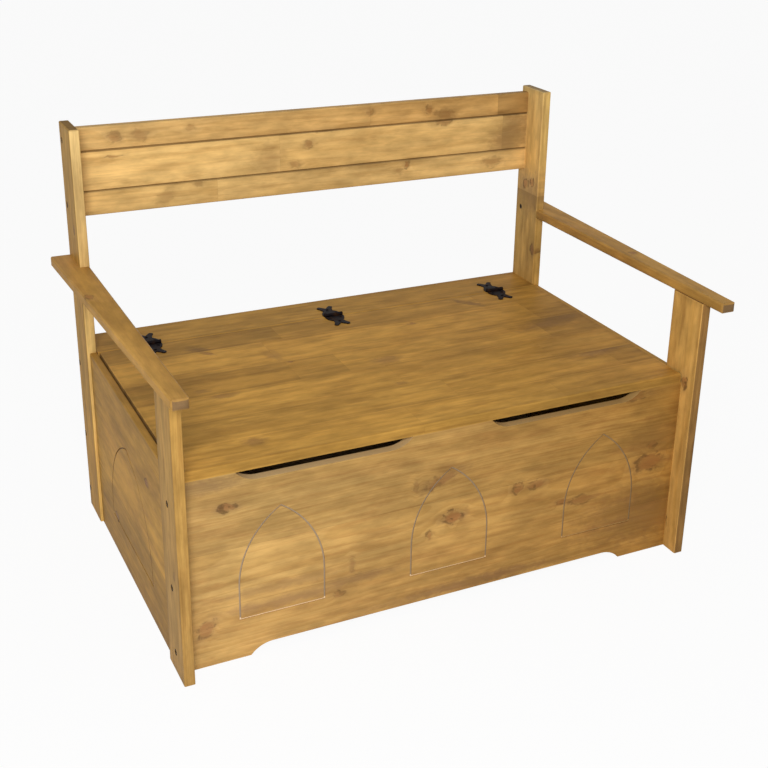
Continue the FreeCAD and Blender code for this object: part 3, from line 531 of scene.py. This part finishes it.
class Finisher:
    """Makes the materials and puts them on the nodes."""

    def __init__(self, effects: WoodEffects) -> None:
        """Keep the shared groups."""
        self.effects = effects

    @staticmethod
    def blank(name: str) -> tuple[bpy.types.Material, Sheet, bpy.types.Node]:
        """Make a material with only a Principled shader."""
        material = bpy.data.materials.new(name)
        sheet = fresh(material)
        shader = sheet.node("BsdfPrincipled")
        sheet.node("OutputMaterial", {"Surface": shader.outputs[0]})
        return material, sheet, shader

    @staticmethod
    def put(material: bpy.types.Material, *nodes: str) -> None:
        """Put a material on CAD nodes."""
        for node in nodes:
            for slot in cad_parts[node].material_slots:
                slot.material = material

    @staticmethod
    def close(sheet: Sheet, shader: bpy.types.Node, bump: bpy.types.Node, inputs: dict[str, Feed]) -> None:
        """Fill a shader's inputs, and take its normal from a bump."""
        for name, value in {**inputs, "Normal": bump.outputs[0]}.items():
            sheet.feed(shader.inputs[name], value)

    def pine(self, board: Board) -> None:
        """Make the pine of one board and put it on the board's node."""
        material, sheet, shader = self.blank("pine_" + board.node)
        low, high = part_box(board.node)
        axes = ["XYZ".index(letter) for letter in board.lie.value]
        coords = sheet.node("TexCoord")
        parts = sheet.split(coords.outputs["Object"])
        place = sheet.joined(*(parts[axis] for axis in axes))
        along, across, _ = sheet.split(place)
        seed, tone, seam = self.lamellae(sheet, board, along, across)
        ragged = sheet.noise(sheet.scaled(place, TEAR_SCALE), 3.0, 0.6, 0.5)
        marks = self.knots(sheet, board, place, ragged)
        middle = (low[axes[1]] + high[axes[1]]) / 2
        rings = self.effects.rings.use(sheet, {
            "Vector": place, "Seed": seed, "Middle": middle, "Ring Width": board.ring * MM,
            "Waviness": board.wave * MM, "Bend": marks["Bend"]})
        normal = sheet.split(coords.outputs["Normal"])
        end = sheet.fade(sheet.math("ABSOLUTE", normal[axes[0]]), 0.6, 0.85)
        # The narrow faces are made lighter or darker: painted light and shade.
        edge = sheet.mix(sheet.fade(sheet.math("ABSOLUTE", normal[axes[1]]), 0.5, 0.9), EVEN, board.edge)
        # Two arris marks: a narrow one lightened, partly rubbed pale and partly a painted highlight, and a
        # wide one made darker, painted shade with a little dirt.
        arris_highlight_and_wear, shade_and_grime = (self.effects.arris.use(sheet, {
            "Vector": coords.outputs["Object"], "Low": low, "High": high, "Width": width})["Mark"]
            for width in (ARRIS_WIDTH, SHADE_AND_GRIME_WIDTH))
        run = sheet.node("MapRange", {0: along, 1: low[axes[0]], 2: high[axes[0]]}).outputs[0]
        look = self.effects.pine.use(sheet, {
            "Vector": place, "Ragged": ragged, "Seam": seam, "End Grain": end, "Tone": tone,
            "Highlight And Wear": sheet.times(arris_highlight_and_wear, board.wear),
            "Shade And Grime": sheet.times(shade_and_grime, board.shade_and_grime), "Base Roughness": board.pine.roughness,
            **{name: rings[name] for name in ("Late Wood", "Band", "Fibre", "Streak")},
            **{name: marks[name] for name in ("Body", "Rim", "Halo")},
            **{f"{part.title()} Colour": getattr(board.pine, part) for part in PINE_PARTS}})
        bump = sheet.node("Bump", {"Strength": 0.35, "Distance": 0.25 * MM, "Height": look["Height"]})
        colour = self.groove(sheet, board, parts, normal, look["Colour"])
        # The colour is multiplied by painted light: the narrow faces' tint and a tint that changes along the
        # grain.
        colour = sheet.scaled(sheet.scaled(colour, edge), sheet.mix(run, board.light_tint_from, board.light_tint_to))
        # The counterbores of the bolts are painted near-black: painted shade in the holes.
        for hole_along, hole_across in board.holes:
            off = sheet.moved(place, (-hole_along * MM, -hole_across * MM, 0.0))
            reach = sheet.length(sheet.scaled(off, (1.0, 1.0, 0.0)))
            dark = sheet.fade(reach, *COUNTERBORE, 0.0, 0.9)
            colour = sheet.mix(dark, colour, HOLE_SHADE)
        self.close(sheet, shader, bump, {"Base Color": colour, "Roughness": look["Roughness"],
                                         "Specular IOR Level": board.pine.gloss})
        self.put(material, board.node)
        LOG.info("%s: pine, %d knots", board.node, len(board.knots))

    def dress(self, *boards: Board) -> None:
        """Put pine on boards, in order."""
        for board in boards:
            self.pine(board)

    @staticmethod
    def groove(sheet: Sheet, board: Board, place: Sequence[Socket], normal: Sequence[Socket],
               colour: Socket) -> Socket:
        """Colour the arch groove in a board's outside.

        Args:
            sheet: The material's sheet.
            board: The board.
            place: The place along X, Y and Z.
            normal: The parts of the surface's direction along X, Y and Z.
            colour: The wood's colour.

        Returns:
            The colour with the groove's floor greyed, a painted highlight on its base line and painted light
            on the finger slots' cut face.
        """
        if not board.outside:
            return colour
        low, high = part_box(board.node)
        axis = "XYZ".index(board.lie.value[2])
        face = low[axis] if board.outside < 0 else high[axis]
        depth = sheet.times(sheet.minus(place[axis], face), -float(board.outside))
        inside = sheet.times(sheet.fade(depth, *GROOVE_MOUTH), sheet.fade(depth, *GROOVE_FLOOR))
        band = sheet.times(sheet.fade(place[2], *ARCH_FOOT), sheet.fade(place[2], *ARCH_TIP))
        flat = sheet.fade(sheet.math("ABSOLUTE", normal[2]), 0.9, 0.7)
        upper = sheet.fade(place[2], *ARCH_BASE)
        mark = sheet.times(sheet.times(inside, band), flat)
        # The base groove gets a painted highlight that fades to the right; above it the groove keeps the
        # board's groove colour.
        base = sheet.mix(sheet.fade(place[0], *BASE_HIGHLIGHT_FADE), BASE_LINE_HIGHLIGHT, LIT_CUT_WOOD)
        # The variable named stain holds the groove colour, with the painted highlight in the base groove.
        stain = sheet.mix(upper, base, board.groove)
        marked = sheet.mix(sheet.times(mark, 0.85), colour, stain)
        if board.lie is not Lie.PANEL:
            return marked
        # The upward cut face of the finger slots is painted pale: painted light where the lid shades it.
        slot = sheet.times(sheet.fade(normal[2], 0.4, 0.8), sheet.fade(place[2], *SLOT_HEIGHT))
        return sheet.mix(slot, marked, LIT_CUT_WOOD)

    def lamellae(self, sheet: Sheet, board: Board, along: Socket, across: Socket) -> tuple[Feed, Feed, Feed]:
        """Draw the glued stretches that a board is made of.

        Args:
            sheet: The material's sheet.
            board: The board.
            along: The place along its grain.
            across: The place across its grain.

        Returns:
            The seed, the tone and the glue line mark of each place.
        """
        tones, last = board.tones, len(board.tones) - 1
        cuts = [(along, at, board.seed + BREAK_SEED * count, tones[min(count, last)], 0.2)
                for count, at in enumerate(board.breaks, 1)]
        for count, at in enumerate(board.joints, 1):
            after = board.seed + JOINT_SEED * count
            cuts.append((across, at, after, 0.95 + 0.1 * math.sin(after * 2.3), 0.35))
        seed, tone, seam = board.seed, tones[0], 0.0
        for place, at, after, shade, strength in cuts:
            out = self.effects.lamella.use(sheet, {
                "Position": place, "At": at * MM, "Seed Before": seed, "Seed After": after,
                "Tone Before": tone, "Tone After": shade, "Seam Before": seam, "Strength": strength,
                "Width": GLUE_WIDTH})
            seed, tone, seam = out["Seed"], out["Tone"], out["Seam"]
        for at in board.lines:
            seam = self.effects.lamella.use(sheet, {
                "Position": across, "At": at * MM, "Seam Before": seam, "Strength": 1.35,
                "Width": LINE_WIDTH})["Seam"]
        return seed, tone, seam

    def knots(self, sheet: Sheet, board: Board, place: Socket, ragged: Socket) -> dict[str, Feed]:
        """Draw a board's knots.

        Args:
            sheet: The material's sheet.
            board: The board.
            place: The place on the board.
            ragged: The noise that tears the knots' outlines.

        Returns:
            The body, rim, halo and bend marks.
        """
        marks: dict[str, Feed] = {"Body": 0.0, "Rim": 0.0, "Halo": 0.0, "Bend": 0.0}
        wobble = sheet.node("TexNoise", {"Vector": place, "Scale": WANDER_SCALE, "Detail": 2.0})
        loose = sheet.moved(wobble.outputs["Color"], (-0.5, -0.5, -0.5))
        uneven = sheet.moved(place, sheet.scaled(loose, WANDER))
        for knot in board.knots:
            out = self.effects.knot.use(sheet, {
                "Vector": uneven, "Ragged": ragged, "Along": knot.along * MM, "Across": knot.across * MM,
                "Length": knot.length * MM, "Width": knot.width * MM, "Slant": math.radians(knot.slant),
                "Body Strength": knot.body, "Halo Strength": knot.halo,
                "Bend Strength": knot.bend * (0.1 + 0.5 * knot.body),
                **{name + " Before": value for name, value in marks.items()}})
            marks = {name: out[name] for name in marks}
        return marks

    def metal(self, name: str, finish: Metal, nodes: Sequence[str]) -> bpy.types.Material:
        """Make a metal and put it on CAD nodes."""
        material, sheet, shader = self.blank(name)
        place = sheet.node("TexCoord").outputs["Object"]
        patches = sheet.noise(sheet.scaled(place, (finish.patch,) * 3), 4.0, 0.62)
        grit = sheet.noise(sheet.scaled(place, (finish.grit,) * 3), 3.0, 0.7)
        rubbed = sheet.fade(sheet.math("MULTIPLY_ADD", grit, 0.35, patches), 0.62, 0.92)
        colour = sheet.mix(rubbed, finish.colour, finish.rubbed)
        bump = sheet.node("Bump", {"Strength": finish.relief, "Distance": 0.4 * MM, "Height": grit})
        self.close(sheet, shader, bump, {
            "Base Color": sheet.tint(colour, sheet.fade(grit, 0.2, 0.8, 0.8, 1.2)),
            "Roughness": sheet.fade(patches, 0.25, 0.75, finish.smooth, finish.rough),
            "Metallic": finish.metallic, "Specular IOR Level": finish.gloss})
        self.put(material, *nodes)
        LOG.info("%s: %d nodes", name, len(nodes))
        return material


@dataclass(frozen=True)
class SlottedHead:
    """The domed head of a slotted wood screw, in millimetres."""

    diameter: float = 6.4
    height: float = 2.2
    rim: float = 0.5
    slot_width: float = 1.0
    slot_depth: float = 1.1
    steps: int = 24
    rings: int = 5

    def add(self, bm: bmesh.types.BMesh, seat: Vector, out: float, slot_turn: float) -> None:
        """Add one head to a mesh.

        Args:
            bm: The mesh.
            seat: The middle of the head's underside, in metres.
            out: 1 where the head looks up and -1 where it looks down.
            slot_turn: How far the slot is turned, in radians.
        """
        head = bmesh.new()
        radius, top = self.diameter / 2, self.height - self.rim
        profile = [head.verts.new((0, 0, 0)), head.verts.new((radius, 0, 0))]
        for ring in range(self.rings + 1):
            angle = math.pi / 2 * ring / self.rings
            profile.append(head.verts.new((radius * math.cos(angle), 0, self.rim + top * math.sin(angle))))
        edges = [head.edges.new(pair) for pair in zip(profile, profile[1:])]
        bmesh.ops.spin(head, geom=profile + edges, cent=(0, 0, 0), axis=(0, 0, 1), angle=math.tau,
                       steps=self.steps, use_merge=True)
        bmesh.ops.remove_doubles(head, verts=head.verts, dist=0.001)
        self.cut_slot(head)
        bmesh.ops.recalc_face_normals(head, faces=head.faces)
        if out < 0:
            bmesh.ops.rotate(head, verts=head.verts, cent=(0, 0, 0), matrix=Matrix.Rotation(math.pi, 3, "X"))
        bmesh.ops.rotate(head, verts=head.verts, cent=(0, 0, 0), matrix=Matrix.Rotation(slot_turn, 3, "Z"))
        bmesh.ops.scale(head, verts=head.verts, vec=(MM, MM, MM))
        bmesh.ops.translate(head, verts=head.verts, vec=seat)
        shape = bpy.data.meshes.new("head")
        head.to_mesh(shape)
        head.free()
        bm.from_mesh(shape)
        bpy.data.meshes.remove(shape)

    def cut_slot(self, head: bmesh.types.BMesh) -> None:
        """Cut the slot across the dome.

        Args:
            head: The head, in millimetres.
        """
        floor = self.height - self.slot_depth
        half = self.slot_width / 2
        cuts = (((half, 0, 0), (1, 0, 0)), ((-half, 0, 0), (1, 0, 0)), ((0, 0, floor), (0, 0, 1)))
        for place, normal in cuts:
            bmesh.ops.bisect_plane(head, geom=head.verts[:] + head.edges[:] + head.faces[:], dist=0.0001,
                                   plane_co=place, plane_no=normal)
        strip = [face for face in head.faces if abs(face.calc_center_median().x) < half
                 and face.calc_center_median().z > floor + 0.001]
        made = bmesh.ops.extrude_face_region(head, geom=strip)["geom"]
        bmesh.ops.delete(head, geom=strip, context="FACES")
        for vertex in made:
            if isinstance(vertex, bmesh.types.BMVert):
                vertex.co.z = floor
        bmesh.ops.remove_doubles(head, verts=head.verts, dist=0.001)


class Hardware:
    """The hinges, the bolts and the screws."""

    def __init__(self, finisher: Finisher) -> None:
        """Dress the metal nodes and add the screw heads."""
        sides = ("left", "middle", "right")
        leaves = [f"hinge_leaf_{leaf}_{side}" for leaf in ("fixed", "lid") for side in sides]
        self.iron = finisher.metal("black_iron", BLACK_IRON, leaves + ["hinge_pins"])
        finisher.metal("bronzed_steel", BRONZED_STEEL, ("panel_bolts", "back_bolts", "arm_bolts"))
        zinc = finisher.metal("zinc_steel", ZINC_STEEL, ("barrel_nuts",))
        for side in sides:
            self.screw_leaf(f"hinge_leaf_fixed_{side}", "bench", 1.0)
            self.screw_leaf(f"hinge_leaf_lid_{side}", "lid", -1.0)
        for side in ("left", "right"):
            self.screw_batten(f"lid_batten_{side}", zinc)

    @staticmethod
    def piece(name: str, bm: bmesh.types.BMesh, body: str, slot: str, material: bpy.types.Material) -> None:
        """Make a piece of a mesh and let it ride on a body."""
        mesh = bpy.data.meshes.new(name)
        bm.to_mesh(mesh)
        bm.free()
        mesh.materials.append(material)
        mesh.shade_smooth()
        mesh.set_sharp_from_angle(angle=math.radians(38))
        piece = bpy.data.objects.new(name, mesh)
        bpy.context.scene.collection.objects.link(piece)
        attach(piece, body)
        LOG.info("%s: %d faces", name, len(mesh.polygons))

    def screw_leaf(self, leaf: str, body: str, away: float) -> None:
        """Put three screws in a hinge leaf: two beside the knuckles and one at the waist.

        Args:
            leaf: The leaf's node.
            body: The body that it rides on.
            away: 1 where the leaf points to the back, and -1 where it points to the front.
        """
        low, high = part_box(leaf)
        pin_low, pin_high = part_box("hinge_pins")
        axis_y = (pin_low.y + pin_high.y) / 2
        middle_x = (low.x + high.x) / 2
        top = low.z + LEAF_THICKNESS * MM
        bm = bmesh.new()
        for x, y, turn in LEAF_SCREWS:
            SlottedHead().add(bm, Vector((middle_x + x * MM, axis_y + away * y * MM, top)), 1.0, turn)
        self.piece("screws_" + leaf.removeprefix("hinge_leaf_"), bm, body, "black_iron", self.iron)

    def screw_batten(self, batten: str, material: bpy.types.Material) -> None:
        """Put one flat screw head under a batten for each stave of the lid.

        Args:
            batten: The batten's node.
            material: The screws' material.
        """
        low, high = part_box(batten)
        bm = bmesh.new()
        flat = SlottedHead(diameter=7.6, height=0.9, rim=0.35, slot_depth=0.45)
        for number in range(1, STAVES + 1):
            stave_low, stave_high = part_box(f"lid_stave_{number}")
            y = (max(stave_low.y, low.y + 0.01) + min(stave_high.y, high.y - 0.01)) / 2
            flat.add(bm, Vector(((low.x + high.x) / 2, y, low.z + 0.05 * MM)), -1.0, 0.7 * number)
        self.piece("screws_" + batten, bm, "lid", "plain_steel", material)


class Uprights:
    """The rear posts and front legs."""

    def __init__(self, finisher: Finisher) -> None:
        """Dress the four planks."""
        front = tuple((z, FRONT_BOLT_Y) for z in PANEL_BOLT_HEIGHTS)
        rear = tuple((z, REAR_BOLT_Y) for z in PANEL_BOLT_HEIGHTS)
        rear += tuple((z, self.back_middle()) for z in BACK_BOLT_HEIGHTS)
        # The tints of the posts and legs, along the grain and on the narrow faces, are painted light and
        # shade: how brightly and how warmly each face is lit.
        finisher.dress(
            Board("rear_post_left", Lie.POST, 1.3, PALE_PINE, (0.97,), edge=(1.50, 1.78, 2.85),
                  light_tint_from=(0.85, 0.78, 0.50), light_tint_to=(0.94, 0.95, 0.84), holes=rear, knots=(
                      Knot(650, 320, 9, 7, halo=0.4), Knot(250, 350, 8, 7))),
            Board("rear_post_right", Lie.POST, 2.9, PALE_PINE, (0.95, 1.24), (612,), edge=(0.93, 0.88, 0.75),
                  light_tint_from=(1.05, 0.95, 0.65), light_tint_to=(1.02, 1.22, 1.65), holes=rear, knots=(
                      Knot(640, 318, 9, 8, halo=0.8), Knot(628, 345, 12, 11, halo=0.9),
                      stain(616, 337, 34, 60, 0.9, bend=0.0), Knot(480, 300, 12, 9, halo=0.8))),
            Board("front_leg_left", Lie.POST, 4.1, PALE_PINE, (0.84,), light_tint_from=(0.94, 0.94, 0.97),
                  light_tint_to=(0.91, 0.90, 0.80), holes=front, knots=(Knot(210, -300, 8, 6, 0.4),)),
            Board("front_leg_right", Lie.POST, 5.7, PALE_PINE, (1.0,), edge=(0.47, 0.43, 0.45), holes=front,
                  knots=(Knot(384, -297, 15, 10, bend=0.5), Knot(330, -262, 24, 13, slant=20, halo=0.9),
                         Knot(60, -285, 9, 7))))

    @staticmethod
    def back_middle() -> float:
        """Return how far back the middle of the back boards' thickness is, in millimetres."""
        low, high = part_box("back_board_top")
        return (low.y + high.y) / 2 / MM


class Arms:
    """The two arms."""

    def __init__(self, finisher: Finisher) -> None:
        """Dress both arms."""
        finisher.dress(Board("arm_left", Lie.ARM, 6.2, ARM_PINE, knots=(Knot(120, -560, 12, 8),)),
                       Board("arm_right", Lie.ARM, 7.9, ARM_PINE, knots=(Knot(-60, 545, 9, 7),)))


class Back:
    """The three boards of the back."""

    def __init__(self, finisher: Finisher) -> None:
        """Dress the boards, whose lamellae change colour along their length."""
        # The top board is painted darker towards its right end: painted shade along the grain.
        finisher.dress(Board(
            "back_board_top", Lie.PANEL, 8.3, LIT_BACK_PINE, (1.0, 0.97, 0.68), (120, 440), lines=(796,),
            light_tint_from=(0.97, 0.96, 0.98), light_tint_to=(0.80, 0.70, 0.60), knots=(
                Knot(-440, 820, 14, 12, 0.35, 0.7), Knot(-387, 820, 16, 11, 0.2, 0.6),
                Knot(-283, 826, 10, 8, 0.2, 0.4), Knot(118, 828, 8, 9, 0.35, 0.6),
                Knot(263, 822, 9, 10, 0.5, 0.6), Knot(303, 808, 18, 14, 0.2, 0.8))), Board(
            "back_board_middle", Lie.PANEL, 9.6, LIT_BACK_PINE, (1.0, 1.0, 0.84), (-90, 455),
            lines=(714, 796), knots=(
                stain(470, 740, 50, 34, 0.75, slant=60, bend=0.3),
                Knot(-441, 781, 16, 3, 0.5, 0.5), stain(-113, 745, 22, 30, 0.5),
                Knot(-23, 770, 9, 9, 0.45, 0.8), Knot(-57, 729, 10, 9, 0.3, 0.6),
                Knot(17, 796, 18, 4, 0.3, 0.6), Knot(303, 793, 20, 9, 0.5, 0.8))), Board(
            "back_board_bottom", Lie.PANEL, 10.4, LIT_BACK_PINE, (1.0, 0.98), (-230,), lines=(714,), knots=(
                Knot(-340, 688, 16, 12, 0.1, 0.5, slant=40), Knot(-273, 707, 10, 6, 0.2),
                Knot(210, 703, 7, 9, 0.7, 0.7), Knot(193, 690, 8, 8, 0.2, 0.5),
                Knot(430, 689, 22, 12, 0.2, 0.6))))


class StorageBox:
    """The panels of the box, its floor and what carries it."""

    def __init__(self, finisher: Finisher) -> None:
        """Dress the pine boards of the box."""
        # The front panel is painted lighter and cooler at its left end and darker at its right: painted light
        # falling off along the bench.
        finisher.dress(Board(
            "front_panel", Lie.PANEL, 11.2, joints=(116, 232), outside=-1,
            light_tint_from=(1.07, 1.14, 1.42), light_tint_to=(0.75, 0.65, 0.50), knots=(
                stain(468, 258, 52, 40, 0.55), Knot(-440, 315, 15, 9, 0.8, 0.7),
                stain(-480, 365, 45, 12, 0.85), stain(-330, 100, 80, 10, 0.8, bend=0.0),
                stain(-205, 108, 55, 9, 0.75, bend=0.0), stain(-345, 134, 70, 9, 0.55, bend=0.0),
                Knot(-485, 80, 20, 14, 0.7, 0.7, slant=55), Knot(-203, 140, 5, 16, 0.2, 0.5),
                Knot(-230, 83, 11, 8, 0.55, 0.5), Knot(-73, 273, 4, 15, 0.3, 0.5),
                Knot(-22, 277, 34, 13, 0.5, 0.8, slant=18), Knot(5, 192, 20, 14, 0.85, 0.8),
                Knot(-43, 163, 7, 9, 0.7, 0.4, slant=30), Knot(148, 220, 12, 12, 0.8, 0.6),
                Knot(189, 221, 19, 10, 0.5, 0.7), Knot(254, 166, 11, 6, 0.75, 0.5),
                Knot(299, 161, 28, 9, 0.5, 0.7), Knot(461, 211, 32, 19, 0.75, 0.9),
                Knot(462, 248, 13, 10, 0.4, 0.8), Knot(410, 368, 26, 9, 0.5, 0.9),
                stain(60, 34, 130, 10, 0.95, bend=0.0), stain(455, 95, 95, 60, 0.85, bend=0.2))),
            Board("rear_panel", Lie.PANEL, 12.8, joints=(104, 236), knots=(
                Knot(-300, 180, 14, 9), Knot(60, 300, 11, 8), Knot(320, 70, 16, 10), Knot(-110, 60, 9, 7))),
            Board("side_panel_left", Lie.SIDE, 13.4, SIDE_PINE, (0.80,), joints=(150, 270), outside=-1,
                  groove=GROOVE_DARK, knots=(Knot(-120, 300, 11, 8), Knot(150, 90, 13, 9))),
            Board("side_panel_right", Lie.SIDE, 14.9, SIDE_PINE, (0.84,), joints=(128, 262), outside=1,
                  groove=GROOVE_DARK, knots=(Knot(60, 320, 12, 8), Knot(-150, 200, 12, 9))))
        for number, node in enumerate(("seat_bearer_left", "seat_bearer_right", "floor_cleat_left",
                                       "floor_cleat_right")):
            finisher.pine(Board(node, Lie.SIDE, 30.1 + number, tones=(1.05,)))
        for number, node in enumerate(("floor_cleat_front", "floor_cleat_rear")):
            finisher.pine(Board(node, Lie.PANEL, 36.1 + number, tones=(1.05,)))
        finisher.pine(Board("floor_panel", Lie.LID, 39.5, PLYWOOD, ring=9.0, wave=22.0))
        for number, (node, lie) in enumerate((("side_dowels", Lie.ARM), ("arm_dowels", Lie.POST),
                                              ("strip_dowels", Lie.LID))):
            finisher.pine(Board(node, lie, 41.7 + number, BEECH, ring=1.6, wave=2.0, wear=0.0, shade_and_grime=0.0))


class Seat:
    """The lid's staves and battens, and the fixed strip behind it."""

    def __init__(self, finisher: Finisher) -> None:
        """Dress the boards of the seat."""
        finisher.dress(
            self.stave("seat_rear_strip", 15.5, (0.84, 0.82), (250,)),
            self.stave("lid_stave_1", 16.1, (0.74, 0.85, 0.84), (-150, 340),
                       Knot(318, 232, 34, 9, 0.25, 0.8, slant=-50),
                       stain(-325, 205, 26, 14, 0.8, slant=-50)),
            self.stave("lid_stave_2", 17.7, (0.97, 0.95, 0.86), (-198, 420),
                       Knot(-318, 188, 12, 7, 0.45, 0.8, slant=-40),
                       Knot(139, 171, 9, 6, 0.8, 0.6), stain(-200, 130, 9, 30, 0.5, slant=20)),
            self.stave("lid_stave_3", 18.2, (0.81, 0.86, 0.98, 0.86), (-190, -85, 388),
                       stain(432, 62, 60, 26, 0.8, slant=12), Knot(-180, 80, 6, 5, 0.8),
                       Knot(5, 14, 20, 17, 0.12, 0.6), Knot(-385, 12, 12, 8, 0.1, 0.5)),
            self.stave("lid_stave_4", 19.8, (0.96, 0.94, 0.90), (-10, 330),
                       Knot(-353, -22, 18, 8, 0.15, 0.7), Knot(-17, -105, 8, 6, 0.2, 0.5)),
            self.stave("lid_stave_5", 20.3, (0.91, 0.92, 0.86), (60, 440),
                       stain(455, -112, 55, 22, 0.85, slant=12)),
            self.stave("lid_stave_6", 21.9, (0.95, 0.93, 0.90), (-60, 250),
                       # The front stave's front face is made darker as painted shade, and its arris lightened
                       # more as a painted highlight, partly rubbed pale.
                       Knot(-365, -225, 13, 14, 0.15, 0.7), wear=0.9, edge=(0.78, 0.78, 0.78)),
            Board("lid_batten_left", Lie.SIDE, 33.3, tones=(1.05,)),
            Board("lid_batten_right", Lie.SIDE, 34.3, tones=(1.05,)))

    @staticmethod
    def stave(node: str, seed: float, tones: tuple[float, ...], breaks: tuple[float, ...], *knots: Knot,
              **more: float | Colour) -> Board:
        """Return a board of the seat, painted darker to the right as shade, with more of its fields where
        given.
        """
        return Board(node, Lie.LID, seed, SEAT_PINE, tones, breaks, knots=knots, light_tint_to=SEAT_LIGHT_FALLOFF, **more)


@dataclass(frozen=True)
class PhotoCamera:
    """The camera of the photograph, in metres, radians and pixels."""

    place: tuple[float, float, float] = (-1.0091, -2.1078, 1.4100)
    azimuth: float = math.radians(-26.77)
    elevation: float = math.radians(22.31)
    roll: float = math.radians(1.34)
    focal: float = 1255.5
    centre: tuple[float, float] = (411.6, 338.5)
    image: float = 768.0
    sensor: float = 36.0

    def build(self) -> None:
        """Make the camera the scene's own."""
        data = bpy.data.cameras.new("photo_camera")
        data.sensor_width = self.sensor
        data.lens = self.focal / self.image * self.sensor
        data.shift_x = (self.image / 2 - self.centre[0]) / self.image
        data.shift_y = (self.centre[1] - self.image / 2) / self.image
        ahead = Vector((-math.sin(self.azimuth) * math.cos(self.elevation),
                        math.cos(self.azimuth) * math.cos(self.elevation), -math.sin(self.elevation)))
        level = ahead.cross(Vector((0, 0, 1))).normalized()
        above = level.cross(ahead)
        right = math.cos(self.roll) * level + math.sin(self.roll) * above
        up = math.cos(self.roll) * above - math.sin(self.roll) * level
        camera = bpy.data.objects.new("photo_camera", data)
        camera.matrix_world = Matrix((
            (right.x, up.x, -ahead.x, self.place[0]),
            (right.y, up.y, -ahead.y, self.place[1]),
            (right.z, up.z, -ahead.z, self.place[2]),
            (0, 0, 0, 1)))
        bpy.context.scene.collection.objects.link(camera)
        bpy.context.scene.camera = camera


@dataclass(frozen=True)
class Studio:
    """A pale floor, a soft lamp beside the camera and an even surround."""

    floor_half: float = 40.0
    lamp_place: tuple[float, float, float] = (-1.35, -2.75, 2.05)
    lamp_aim: tuple[float, float, float] = (0.0, 0.0, 0.35)
    lamp_size: float = 1.3
    lamp_power: float = 80.0
    surround: float = 0.34
    floor_glow: float = 0.93

    def build(self) -> None:
        """Make the floor, the lamp and the surround."""
        self.build_floor()
        self.build_lamp()
        self.build_surround()
        bpy.context.scene.view_settings.view_transform = "Standard"

    def seen(self, sheet: Sheet) -> Socket:
        """Return 1 where the camera, a reflection or a clear piece looks on, and 0 for other light."""
        path = sheet.node("LightPath").outputs
        shown = sheet.math("MAXIMUM", path["Is Camera Ray"], path["Is Glossy Ray"])
        return sheet.math("MAXIMUM", shown, path["Is Transmission Ray"])

    def build_floor(self) -> None:
        """Make the floor, which looks white but keeps a faint shadow."""
        mesh = bpy.data.meshes.new("floor")
        bm = bmesh.new()
        bmesh.ops.create_grid(bm, x_segments=1, y_segments=1, size=self.floor_half)
        bm.to_mesh(mesh)
        bm.free()
        floor = bpy.data.objects.new("floor", mesh)
        bpy.context.scene.collection.objects.link(floor)
        material = bpy.data.materials.new("floor_paper")
        sheet = fresh(material)
        paper = sheet.node("BsdfDiffuse", {"Color": (0.9, 0.9, 0.9)})
        glow = sheet.node("Emission", {"Color": (1.0, 1.0, 1.0), "Strength": 1.0})
        share = sheet.times(self.seen(sheet), self.floor_glow)
        both = sheet.node("MixShader", {0: share, 1: paper.outputs[0], 2: glow.outputs[0]})
        sheet.node("OutputMaterial", {"Surface": both.outputs[0]})
        mesh.materials.append(material)

    def build_lamp(self) -> None:
        """Make the soft lamp."""
        data = bpy.data.lights.new("soft_lamp", "AREA")
        data.shape = "DISK"
        data.size = self.lamp_size
        data.energy = self.lamp_power
        lamp = bpy.data.objects.new("soft_lamp", data)
        place = Vector(self.lamp_place)
        lamp.rotation_mode = "QUATERNION"
        lamp.rotation_quaternion = (Vector(self.lamp_aim) - place).to_track_quat("-Z", "Y")
        lamp.location = place
        bpy.context.scene.collection.objects.link(lamp)

    def build_surround(self) -> None:
        """Make the world: white to look at, dimmer as a light."""
        world = bpy.data.worlds.new("surround")
        bpy.context.scene.world = world
        sheet = fresh(world)
        strength = sheet.node("MapRange", {0: self.seen(sheet), 3: self.surround, 4: 1.0}).outputs[0]
        backdrop = sheet.node("Background", {"Color": (1.0, 1.0, 1.0), "Strength": strength})
        sheet.node("OutputWorld", {"Surface": backdrop.outputs[0]})


def main() -> None:
    """Dress the bench, light it and set the camera."""
    logging.basicConfig(level=logging.INFO, format="%(name)s: %(message)s")
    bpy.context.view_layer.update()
    finisher = Finisher(WoodEffects())
    for part in (Uprights, Arms, Back, StorageBox, Seat, Hardware):
        part(finisher)
    PhotoCamera().build()
    Studio().build()


if __name__ == "__main__":
    main()
